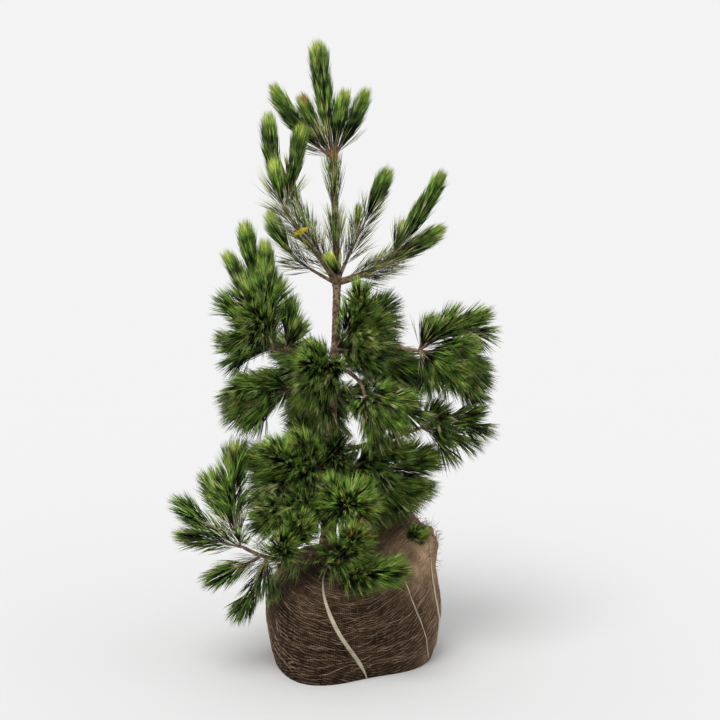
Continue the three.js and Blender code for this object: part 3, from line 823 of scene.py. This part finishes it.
def side_shoots(main, rng):
    """Shorter shoots that leave a wide one all round, and one that hangs below a long one.

    A wide shoot has one for each 5 mm of girth past 21 mm, up to four, and each is turned from the
    last by twice the golden turn.
    """
    extra = []
    count = int(np.clip((main.girth - 21 * MM) / (5 * MM), 0, 4))
    start = rng.uniform(0, 2 * math.pi)
    for number in range(count):
        share = 0.28 + 0.5 * (number + rng.uniform(0.2, 0.8)) / count
        foot = main.points(share)
        heading = main.headings(share)
        side, rise = across(heading)
        turn = start + GOLDEN_TURN * number * 2 + rng.normal(0, 0.3)
        lean = math.radians(rng.uniform(24, 38))
        length = max(18 * MM, main.girth * 0.75 * rng.uniform(0.7, 1.1))
        line = length * turned(lean, heading, turned(turn, side, rise))
        extra.append(Shoot(foot, line, 0.18 * length * UP, main.habit,
                           0.8 * main.girth, 0.1, 0.6 * main.thick))
    if main.habit not in SLIM_HABITS and main.length > LONG_SHOOT and main.foot[2] > LOW_SHOOTS:
        share = rng.uniform(0.4, 0.55)
        aside = rng.uniform(-0.25, 0.25) * across(main.headings(share))[0]
        line = 0.3 * main.length * unit(0.65 * main.headings(share) + aside - 0.75 * UP)
        extra.append(Shoot(main.points(share), line, 0.1 * main.length * UP, "under",
                           0.75 * main.girth, 0.1, 0.5 * main.thick))
    return extra


@remembered
def all_shoots():
    """Every shoot of the crown, main and side; each main shoot is cut back so that its needles end at the
    mass's tip.

    A short shoot has short needles, 0.78 of its reach and at least 0.55 of full length. Its stem
    ends 0.8 of a needle before the tip.
    """
    settings = bpy.context.scene.pine_needles
    rng = np.random.default_rng(settings.seed)
    shoots = []
    for name in MASSES:
        for main in mass_shoots(name):
            extra = side_shoots(main, rng)
            reach = main.length
            main.size = float(np.clip(0.78 * reach / settings.length, 0.55, 1))
            main.size *= 0.85 if main.habit == "sparse" else 1
            main.cut(max(0.3, 1 - 0.8 * main.size * settings.length / reach))
            main.bare = min(main.bare * reach / main.length, 0.5 if main.habit in SLIM_HABITS else 0.3)
            if name in BARE_FOOTED_MASSES:
                main.bare = max(main.bare, 0.55)
            shoots += [main] + extra
    return shoots


# ---------------------------------------------------------------- needles


class Needles:
    """Rows of needles: foot, first heading, last heading, length, width, shade, and painted light plus
    random brightness of each.
    """

    LENGTH, WIDTH, SHADE, TONE = 9, 10, 11, 12      # columns, after three of three numbers each

    def __init__(self):
        self.rows = []

    def add(self, foot, start, end, length, width, shade, tone):
        columns = [np.broadcast_to(np.asarray(value, float).reshape(-1, 1), (len(foot), 1))
                   for value in (length, width, shade, tone)]
        self.rows.append(np.concatenate([foot, start, end, *columns], axis=1))

    def gathered(self):
        return np.concatenate(self.rows)


def needle_shape(rows):
    """A needle is a spindle of six faces: a point at its foot, a ring of three, and its tip.

    The ring stands KNEE of the way up on the first heading, and the rest follows the last heading.
    """
    foot, start, end = rows[:, 0:3], rows[:, 3:6], rows[:, 6:9]
    length, width = rows[:, [Needles.LENGTH]], rows[:, [Needles.WIDTH]]
    knee = foot + start * length * KNEE
    tip = knee + end * length * (1 - KNEE)
    side, rise = across(start)
    roll = np.arange(len(rows))[:, None] * GOLDEN_TURN
    corners = [knee + 0.5 * width * turned(roll + turn, side, rise) for turn in ring_angles(3)]
    points = np.stack([foot, *corners, tip], axis=1).reshape(-1, 3)
    pattern = np.array([[0, 2, 1], [0, 3, 2], [0, 1, 3], [4, 1, 2], [4, 2, 3], [4, 3, 1]])
    triangles = (pattern[None] + NEEDLE_POINTS * np.arange(len(rows))[:, None, None]).reshape(-1, 3)
    outer = np.tile([0.0, KNEE, KNEE, KNEE, 1.0], len(rows))
    tone = np.repeat(rows[:, Needles.TONE], NEEDLE_POINTS)
    return (points, triangles), {"outer": outer, "tone": tone}


def dress(shoot, settings, rng, needles, habit=None, start=None, end=1.0):
    """Bundles of five needles climb the stem by the golden turn.

    Near the tip they stand almost along the stem and lower down they lean out, far enough to fill
    the shoot's girth. The shade is dealt out by habit, with young or scorched needles round the
    bud. A habit given by name clothes an older stretch: it has no bud, has shed nothing and its
    needles are thinner and looser.
    """
    growing = habit is None
    habit = HABITS[habit or shoot.habit]
    start = shoot.bare if start is None else start
    length = shoot.length
    count = int(length * (end - start) / settings.spacing * habit.close)
    if count < 2:
        return
    share = start + (end - start) * (np.arange(count) + 0.5) / count
    shed = SHEDDING * growing * ease((1 - share) * length, *SHED_FROM)
    share = share[rng.random(count) > shed]
    count = len(share)
    below = (1 - share) * length
    heading = shoot.headings(share)
    side, rise = across(heading)
    turn = GOLDEN_TURN * np.arange(count) + rng.normal(0, 0.35, count)
    out = turned(turn[:, None], side, rise)
    foot = shoot.points(share) + out * shoot.thick * 0.7
    widest = math.radians(habit.lean)
    if growing:
        widest = max(widest, math.asin(min(0.78, habit.fill * shoot.girth / settings.length)))
    opened = 0.4 + 0.6 * ease(below, 0, habit.opening * MM)
    slack = math.radians(SLACK) * ease(below, *SLACK_FROM) * (habit.fill > 1.2)
    lean = widest * opened * rng.uniform(0.62, 1.18, count) + slack
    bundle = turned(lean[:, None], heading, out)
    shade = rng.choice(len(SHADES), count, p=habit.shares)
    if growing and shoot.tip:
        reach, chance = SCORCH if shoot.tip == "rusty" else (YOUNG_REACH, habit.tender)
        tender = (below < reach) & (rng.random(count) < chance)
        shade = np.where(tender, SHADES.index(shoot.tip), shade)
    size = settings.length * shoot.size * (0.86 + 0.14 * ease(below, 0, 30 * MM))
    # Painted light and shade: needles on a shoot's upper side are lighter and those below darker, and
    # heart paints them darker round the bud than lower down (lighter, where heart is below 0). The rest is
    # random.
    age_and_painted_shade = ease(below, *SHADED_FROM) - 0.6
    tone = 0.5 + 0.24 * out[:, 2] + habit.heart * age_and_painted_shade + rng.uniform(-0.42, 0.42, count)
    heavy = 1 + 3 * growing * ease(below, *HEAVY_FROM)
    width = settings.width * (1 if growing else 0.78)
    parting = 0.036 if growing else 0.1
    for _ in range(BUNDLE):
        first = unit(bundle + rng.normal(0, parting, (count, 3)))
        droop = (habit.sag * heavy * rng.uniform(0.2, 1.8, count))[:, None] * UP
        last = unit(first + habit.forward * heading - droop + rng.normal(0, 0.06, (count, 3)))
        other = rng.random(count) < STRAY
        own = np.where(other, rng.choice(len(SHADES), count, p=habit.shares), shade)
        own_length = size * rng.uniform(0.84, 1.08, count)
        own_light_and_tone = np.clip(tone + rng.uniform(-0.2, 0.2, count), 0, 1)
        needles.add(foot, first, last, own_length, width, own, own_light_and_tone)


def collar_tufts():
    """Short tufts of a branch end that lie in the gathered cloth."""
    foot = ball().skin(direction_of(*TUFT_SPOT)[None])[0]
    lines = direction_of(*TUFT_WAYS) * 26 * MM
    return [Shoot(foot, line, np.zeros(3), "bright", 16 * MM, 0.0, 1.5 * MM, size=0.5) for line in lines]


def limb_shoot(name, start, end):
    """A stretch of a limb, from one share of its length to another, as a shoot with no bud."""
    centres, radii = limb_line(name)
    run = np.linspace(0, 1, len(centres))
    inside = (run >= start) & (run <= end)
    line = centres[inside] - centres[inside][0]
    rise, bend = fit_parabola(np.linspace(0, 1, len(line)), line)
    return Shoot(centres[inside][0], rise, bend, "old", 0.0, 0.0, radii[inside][0], tip=None)


# ---------------------------------------------------------------- bark


def bark_relief(settings, radius, strength):
    """Leaf cushions in slanting rows: the product of a cosine round the limb and one along it."""
    columns = max(3, round(2 * math.pi * radius / SCAR_SPACING))

    def height(angle, run):
        wave = np.cos(columns * angle + 90 * run) * np.cos(math.pi * run / settings.row)
        return settings.cushion * strength * (np.clip(wave, 0, 1) ** 1.4 - 0.35)

    return height


def bark_limb(name, settings, sides, step):
    """A limb's mesh along its own line with relief, and where it is scarred and how young it is.

    The trunk swells at each whorl. A bough runs back into the trunk and flares at its foot.
    """
    centres, radii = limb_line(name)
    line, radius = smooth_line(centres, radii, step, 5 if name == "trunk" else 3)
    if name == "trunk":
        feet = np.array([limb_line(bough)[0][0, 2] for bough in BOUGHS])
        radius = radius + settings.swelling * bell(line[:, 2, None], feet[None], 11 * MM).max(axis=1)
        radius[-6:] *= np.linspace(1, 0.55, 6)
        strength = 1.0
    else:
        heading = unit(line[1] - line[0])
        inward = line[0] - heading * np.linspace(12 * MM, step, FLARE)[:, None]
        line = np.concatenate([inward, line])
        flared = radius * (1 + 0.3 * np.exp(-9 * np.linspace(0, 1, len(radius))))
        radius = np.concatenate([np.full(FLARE, radius[0] * 1.3), flared])
        radius[-3:] *= (0.95, 0.8, 0.5)
        strength = 0.45
    relief = bark_relief(settings, radius.mean(), strength)
    points, triangles = tube(line, radius, sides, relief)
    lumps = ripple(points, 30 * MM, 3)[:, None] * 0.35 * MM
    middle = np.repeat(line, sides, axis=0)
    points[:-2] += unit(points[:-2] - middle) * lumps[:-2]
    raised = relief(ring_angles(sides)[None], run_along(line)[:, None]) / (settings.cushion * strength)
    scar = np.append(ease(raised, -0.15, 0.15).ravel(), (0, 0))
    young = ease(points[:, 2], *YOUNG_WOOD)
    return points, triangles, scar, young


# ---------------------------------------------------------------- root ball


class Ball:
    """The ball's skin: how far it stands from the ball's heart in any direction.

    The distances at the CAD node's own points are joined by a cubic radial spline: the sum of
    weight * |direction - point's direction|³ plus a plane.
    """

    def __init__(self):
        self.heart = HEART_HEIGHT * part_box("root_ball")[1][2] * UP
        points, _ = node_shape("root_ball")
        points = points[points[:, 2] > 0.5 * MM]
        away = points - self.heart
        self.known = unit(away)
        count = len(self.known)
        plane = np.concatenate([np.ones((count, 1)), self.known], axis=1)
        system = np.zeros((count + 4, count + 4))
        system[:count, :count] = self.kernel(self.known)
        system[:count, count:] = plane
        system[count:, :count] = plane.T
        values = np.append(np.linalg.norm(away, axis=1), np.zeros(4))
        self.weights = np.linalg.solve(system, values)

    def kernel(self, directions):
        """The cube of the gap from each direction to each known one."""
        apart = 2 - 2 * directions @ self.known.T
        return np.clip(apart, 0, None) ** 1.5

    def distance(self, directions):
        """The spline, worked out for some thousands of directions at a time."""
        count = len(self.known)
        chunks = np.array_split(directions, max(1, len(directions) // 8000))
        curved = np.concatenate([self.kernel(chunk) @ self.weights[:count] for chunk in chunks])
        return curved + self.weights[count] + directions @ self.weights[count + 1:]

    def skin(self, directions, proud=0.0):
        """Points on the skin, with the cloth's folds, and flat where it stands on the floor."""
        points = self.heart + directions * (self.distance(directions) + proud)[:, None]
        heading = np.degrees(np.arctan2(points[:, 1], points[:, 0]))
        top = ease(points[:, 2], 0.12, 0.25)
        gather = bell(angle_from(heading, COLLAR[0]), 0, COLLAR[1])
        wave = np.sin(np.radians(heading) * PLEATS + 3 * ripple(points, 0.25, 7))
        pleats = PLEAT_DEPTH * wave * top * gather
        hole = HOLE_DEPTH * bell(np.linalg.norm(points - FOLD_HOLE, axis=1), 0, HOLE_WIDTH)
        frill = np.degrees(np.arccos(np.clip(directions @ direction_of(*FRILL_SPOT), -1, 1)))
        bulge = FRILL_BULGE * bell(frill, 0, 11) * (1 + 0.3 * ripple(points, 0.03, 13))
        lumps = 2.2 * MM * ripple(points, 0.09, 11) + 1.0 * MM * ripple(points, 0.035, 12)
        low = ease(points[:, 2], 0.0, 0.03)
        points = points + directions * ((pleats + lumps) * low + bulge - hole)[:, None]
        points[:, 2] = np.maximum(points[:, 2], 0)
        return points

    def arcs(self, points):
        """How far up the cloth a point is, along threads that sag in front and behind."""
        heading = np.arctan2(points[:, 1], points[:, 0])
        level = points[:, 2] + 0.8 * (BALL_RADIUS - np.hypot(points[:, 0], points[:, 1]))
        return level - SAG * np.sin(heading - math.radians(SAG_HEADING)) ** 2 * ease(points[:, 2], 0, 0.22)


@remembered
def ball():
    return Ball()


def ball_cloth():
    """The skin over a grid of heading by lift, with its weave map and how bleached each point is.

    The grid closes behind the ball. The weave map runs on past the last column, so it has no jump.
    """
    rows, columns = CLOTH_GRID
    heading = 90 + np.arange(columns) * 360 / columns
    lift = np.linspace(-89.5, 89.5, rows)
    directions = direction_of(*np.meshgrid(heading, lift)).reshape(-1, 3)
    points = ball().skin(np.concatenate([directions, [-UP, UP]]))
    triangles = closed_grid(rows, columns)
    column = triangles % columns
    beyond = (column == 0) & (column.max(axis=1, keepdims=True) == columns - 1)
    around = np.where(beyond, columns, column) * 2 * math.pi * BALL_RADIUS / columns
    weave = np.stack([around, ball().arcs(points)[triangles]], -1).reshape(-1, 2)
    turn = np.degrees(np.arctan2(points[:, 1], points[:, 0]))
    high = ease(points[:, 2], 0.14, 0.27)
    # Bleached most high on the right, then on the left and low on the right, and a little on top.
    faded = (bell(angle_from(turn, 350), 0, 34) * high + 0.5 * bell(angle_from(turn, 190), 0, 16)
             + 0.4 * bell(angle_from(turn, 352), 0, 20) * (1 - high) + 0.16 * high)
    faded = np.clip(faded * (0.75 + 0.5 * ripple(points, 0.06, 21)), 0, 1)
    return (points, triangles), weave, faded


# ---------------------------------------------------------------- operators


class PineTrunk(bpy.types.Operator):
    """Replaces the trunk and the boughs with limbs in relief."""

    bl_idname = "pine.trunk"
    bl_label = "Trunk and boughs"

    def execute(self, context):
        settings = context.scene.pine_bark
        points, triangles, scar, young = bark_limb("trunk", settings, 56, 1.6 * MM)
        add_piece("trunk_bark", (points, triangles), bark_finish(), ["trunk"],
                  {"scar": scar, "young": young})
        limbs = [bark_limb(name, settings, 22, 2 * MM) for name in BOUGHS]
        marks = {"scar": np.concatenate([limb[2] for limb in limbs]) * 0.7,
                 "young": np.concatenate([limb[3] for limb in limbs]) * 0.5}
        add_piece("bough_bark", join([limb[:2] for limb in limbs]), bark_finish(), BOUGHS, marks)
        return {"FINISHED"}


class PineShoots(bpy.types.Operator):
    """Grows the stems and buds of all shoots."""

    bl_idname = "pine.shoots"
    bl_label = "Stems and buds"

    def execute(self, context):
        stems, buds = [], []
        share = np.linspace(0, 1, 12)
        for shoot in all_shoots():
            radius = shoot.thick * (1 - 0.5 * share)
            radius[-1] *= 0.6
            stems.append(tube(shoot.points(share), radius, 7))
            line = shoot.points(1.0) + shoot.headings(1.0) * BUD_RINGS[:, None]
            buds.append(tube(line, BUD_SWELL, 6))
        top = limb_line("trunk")[0][-1]
        for turn, height in TOP_BUDS:
            out = np.array([math.cos(turn) * 6 * MM, math.sin(turn) * 6 * MM, 0])
            line = top + out + (np.linspace(-6, height, 7) * MM)[:, None] * (0.1 * math.cos(turn), 0, 1)
            buds.append(tube(line, TOP_BUD_SWELL, 7))
        add_piece("stems", join(stems), stem_finish())
        add_piece("buds", join(buds), bud_finish())
        return {"FINISHED"}


class PineNeedles(bpy.types.Operator):
    """Dresses every shoot, the upper boughs and the top of the trunk with needles."""

    bl_idname = "pine.needles"
    bl_label = "Needles"

    def execute(self, context):
        settings = context.scene.pine_needles
        rng = np.random.default_rng(settings.seed + 1)
        needles = Needles()
        for shoot in all_shoots():
            dress(shoot, settings, rng, needles)
            if shoot.bare > 0.1:
                dress(shoot, settings, rng, needles, "old", 0.2 * shoot.bare, shoot.bare)
        for shoot in collar_tufts():
            dress(shoot, settings, rng, needles)
        for name, start, end, habit in STRETCHES:
            dress(limb_shoot(name, start, end), settings, rng, needles, habit, 0.0)
        rows = needles.gathered()
        for number, shade in enumerate(SHADES):
            own = rows[rows[:, Needles.SHADE] == number]
            finish = needle_finish(shade)
            parts = max(1, math.ceil(len(own) / PIECE_NEEDLES))
            for part, chunk in enumerate(np.array_split(own, parts)):
                nodes = MASSES if (number, part) == (1, 0) else ()
                shape, marks = needle_shape(chunk)
                add_piece(f"needles_{shade}_{part + 1}", shape, finish, nodes, marks)
        return {"FINISHED"}


class PineBall(bpy.types.Operator):
    """Wraps the root ball in hessian and lays loose fibres on it."""

    bl_idname = "pine.ball"
    bl_label = "Root ball"

    def execute(self, context):
        shape, weave, faded = ball_cloth()
        add_piece("hessian", shape, hessian_finish(), ["root_ball"], {"faded": faded}, weave)
        rng = np.random.default_rng(31)
        self.fibres(context.scene.pine_ball, rng)
        self.fringe(rng)
        return {"FINISHED"}

    def fringe(self, rng):
        """Frayed ends that stand out round the gathered edge: foot + out * t + bend * t²."""
        count = 420
        heading, lift = rng.normal(FRILL_SPOT[0], 17, count), rng.normal(FRILL_SPOT[1] + 4, 9, count)
        directions = direction_of(heading, lift)
        foot = ball().skin(directions, -2 * MM)
        out = unit(directions + rng.normal(0, 0.5, (count, 3))) * rng.uniform(8, 24, (count, 1)) * MM
        bend = rng.normal(0, 6 * MM, (count, 3))
        share = np.linspace(0, 1, 6)[None, :, None]
        paths = foot[:, None] + out[:, None] * share + bend[:, None] * share ** 2
        radii = np.array([1, 1, 1, 0.9, 0.8, 0.3]) * MM
        add_piece("fringe", join([tube(path, radii * rng.uniform(0.25, 0.6), 3) for path in paths]),
                  fringe_finish())

    def fibres(self, settings, rng):
        """Thin fibres that wander along the arcs of the cloth."""
        count, steps = settings.fibres, 10
        lift = np.degrees(np.arcsin(rng.uniform(-0.5, 0.93, count)))
        spot = ball().skin(direction_of(rng.uniform(-180, 180, count), lift))
        pace = rng.uniform(3, 10, count) * MM
        way = None
        line = [spot]
        for _ in range(steps):
            ahead = unit(line[-1] - ball().heart)
            small = 1 * MM
            slope = np.stack([ball().arcs(line[-1] + small * axis) - ball().arcs(line[-1])
                              for axis in np.eye(3)], -1)
            along = unit(np.cross(ahead, slope) + 1e-9)
            wander = rng.normal(0, 0.14, (count, 3))
            way = unit(along + wander if way is None else 0.6 * way + 0.4 * along + wander)
            moved = line[-1] + way * pace[:, None]
            line.append(ball().skin(unit(moved - ball().heart), 0.4 * MM))
        paths = np.stack(line, axis=1)
        radii = np.concatenate([[0.05], np.full(steps - 1, 0.3), [0.05]]) * MM
        fibres = [tube(path, radii * thickness, 3)
                  for path, thickness in zip(paths, rng.uniform(0.5, 1.2, count))]
        add_piece("fibres", join(fibres), fibre_finish())


class PineStraps(bpy.types.Operator):
    """Lays the two straps and the thin twine over the ball."""

    bl_idname = "pine.straps"
    bl_label = "Straps and twine"

    def execute(self, context):
        settings = context.scene.pine_ball
        for name in ("strap_front", "strap_side"):
            shape, weave = self.strap(name, settings.strap_width)
            add_piece(name + "_tape", shape, strap_finish(), [name], None, weave)
        self.twine()
        self.tag()
        return {"FINISHED"}

    def twine(self):
        """Two thin strands that cross as they run down the cloth."""
        spots = np.array(TWINE_SPOTS, float)
        route = smoothed(np.linspace(0, 1, len(spots)), spots, 3, np.linspace(0, 1, 60))
        path = ball().skin(direction_of(*route.T), 1.2 * MM)
        out = unit(path - ball().heart)
        side = np.cross(unit(np.gradient(path, axis=0)), out)
        run = np.linspace(0, 1, len(path))[:, None]
        strands = [tube(path + side * 1.7 * MM * np.sin(9 * run + start), np.full(len(path), 0.65 * MM), 5)
                   for start in (0, math.pi)]
        shape = join(strands)
        add_piece("twine", shape, strap_finish(), (), None, np.zeros((shape[1].size, 2)))

    def tag(self):
        """A strip of yellow tape tied round an upper bough, with its two ends standing off."""
        centres, radii = limb_line("bough_upper_left_front")
        place = int(TAG_PLACE * len(centres))
        heading = unit(centres[place + 1] - centres[place])
        spot = centres[place]
        ring = spot + heading * np.linspace(-6, 6, 5)[:, None] * MM
        ends = [spot + np.linspace(0, 1, 6)[:, None] * np.array(way) * MM for way in TAG_ENDS]
        swell = np.array([4, 4.6, 5, 5.2, 5, 3.2]) * MM
        knot = tube(ring, np.full(len(ring), radii[place] + 3.5 * MM), 10)
        shape = join([knot] + [tube(end, swell, 4) for end in ends])
        add_piece("tape", shape, tag_finish())

    def strap(self, name, width):
        """A flat band laid on the skin along the CAD strap.

        Seen from the ball's heart, the strap lies near one plane. Its angle in that plane runs
        along it, and a polynomial of that angle gives how far it strays to the side.
        """
        points, _ = node_shape(name)
        directions = unit(points - ball().heart)
        first, second, pole = np.linalg.svd(directions, full_matrices=False)[2]
        raw = np.arctan2(directions @ second, directions @ first)
        order = np.argsort(raw)
        gaps = np.diff(raw[order])
        start = order[(gaps.argmax() + 1) % len(order)] if gaps.max() > 0.6 else order[0]
        run = (raw - raw[start]) % (2 * math.pi)
        stray = np.polyfit(run, np.arcsin(directions @ pole), 5)
        fine = np.linspace(run.min(), run.max(), 220)
        bearing = fine + raw[start]
        lean = np.polyval(stray, fine)
        middle = turned(lean[:, None], turned(bearing[:, None], first, second), pole)
        centre = ball().skin(middle, STRAP_LIFT)
        along = unit(np.gradient(centre, axis=0))
        out = unit(centre - ball().heart)
        side = unit(np.cross(out, along))
        half, thick = 0.5 * width, 0.7 * MM
        profile = np.array([(-half, -thick), (half, -thick), (half, thick), (0.3 * half, 1.7 * thick),
                            (-0.3 * half, 1.7 * thick), (-half, thick)])
        narrow = (1 - 0.7 * ease(centre[:, 2], 0.15, 0.25)) * (0.35 + 0.65 * ease(centre[:, 2], 0.0, 0.05))
        narrow = narrow[:, None, None]
        ring = (centre[:, None] + narrow * profile[None, :, :1] * side[:, None]
                + profile[None, :, 1:] * out[:, None])
        ring[..., 2] = np.maximum(ring[..., 2], 0.3 * MM)
        points = np.concatenate([ring.reshape(-1, 3), centre[:1], centre[-1:]])
        triangles = closed_grid(len(centre), len(profile))
        along, over = np.broadcast_arrays(np.arange(len(centre))[:, None] * MM, profile[None, :, 0])
        weave = np.concatenate([np.stack([along, over], -1).reshape(-1, 2), np.zeros((2, 2))])
        return (points, triangles), weave[triangles.ravel()]


class PineStage(bpy.types.Operator):
    """Sets the floor, the light and the camera. The floor's grey comes out as bright as the sky."""

    bl_idname = "pine.stage"
    bl_label = "Stage"

    def execute(self, context):
        settings = context.scene.pine_stage
        rim = direction_of(np.degrees(ring_angles(FLOOR_SIDES)), np.zeros(FLOOR_SIDES)) * FLOOR_RADIUS
        lit = settings.daylight + settings.sun * math.cos(settings.slant) / math.pi
        grey = (settings.daylight / lit,) * 3
        finish = Finish("floor", 1.0, 0.0)
        finish.colour(finish.mix(finish.noise(3, 2), scaled(grey, 0.995), grey))
        mesh = bpy.data.meshes.new("floor")
        mesh.from_pydata(rim.tolist(), [], [list(range(FLOOR_SIDES))])
        mesh.materials.append(finish.material)
        new_object("floor", mesh)
        data = bpy.data.lights.new("sun", "SUN")
        data.angle = math.radians(SUN_WIDTH)
        data.energy = settings.sun
        new_object("sun", data).rotation_euler = (settings.slant, 0, math.radians(SUN_TURN))
        world = bpy.data.worlds.new("studio")
        world.use_nodes = True
        world.node_tree.nodes["Background"].inputs["Color"].default_value = (1, 1, 1, 1)
        world.node_tree.nodes["Background"].inputs["Strength"].default_value = settings.daylight
        context.scene.world = world
        context.scene.view_settings.view_transform = "Standard"
        data = bpy.data.cameras.new("camera")
        data.lens = settings.lens
        data.sensor_width = 36
        camera = new_object("camera", data)
        camera.location = (settings.aside, -settings.distance, settings.height)
        camera.rotation_euler = (math.pi / 2 - settings.tilt, 0, 0)
        context.scene.camera = camera
        return {"FINISHED"}


class PinePanel(bpy.types.Panel):
    """The steps that make the plant, and its sizes and colours."""

    bl_idname = "VIEW3D_PT_pine"
    bl_label = "Pine sapling"
    bl_space_type = "VIEW_3D"
    bl_region_type = "UI"
    bl_category = "Pine"

    def draw(self, context):
        for operator, group in zip(OPERATORS, ("pine_bark", None, "pine_needles", "pine_ball", None,
                                               "pine_stage")):
            self.layout.operator(operator.bl_idname)
            if group:
                settings = getattr(context.scene, group)
                for name in settings.bl_rna.properties.keys():
                    if name not in ("rna_type", "name"):
                        self.layout.prop(settings, name)


OPERATORS = (PineTrunk, PineShoots, PineNeedles, PineBall, PineStraps, PineStage)
GROUPS = {"pine_needles": NeedleSettings, "pine_bark": BarkSettings, "pine_ball": BallSettings,
          "pine_stage": StageSettings}


def register():
    for kind in (*GROUPS.values(), *OPERATORS, PinePanel):
        bpy.utils.register_class(kind)
    for name, kind in GROUPS.items():
        setattr(bpy.types.Scene, name, bpy.props.PointerProperty(type=kind))


def unregister():
    for name in GROUPS:
        delattr(bpy.types.Scene, name)
    for kind in (PinePanel, *reversed(OPERATORS), *reversed(GROUPS.values())):
        bpy.utils.unregister_class(kind)


def main():
    register()
    bpy.ops.pine.trunk()
    bpy.ops.pine.shoots()
    bpy.ops.pine.needles()
    bpy.ops.pine.ball()
    bpy.ops.pine.straps()
    bpy.ops.pine.stage()
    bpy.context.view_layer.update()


if __name__ == "__main__":
    main()
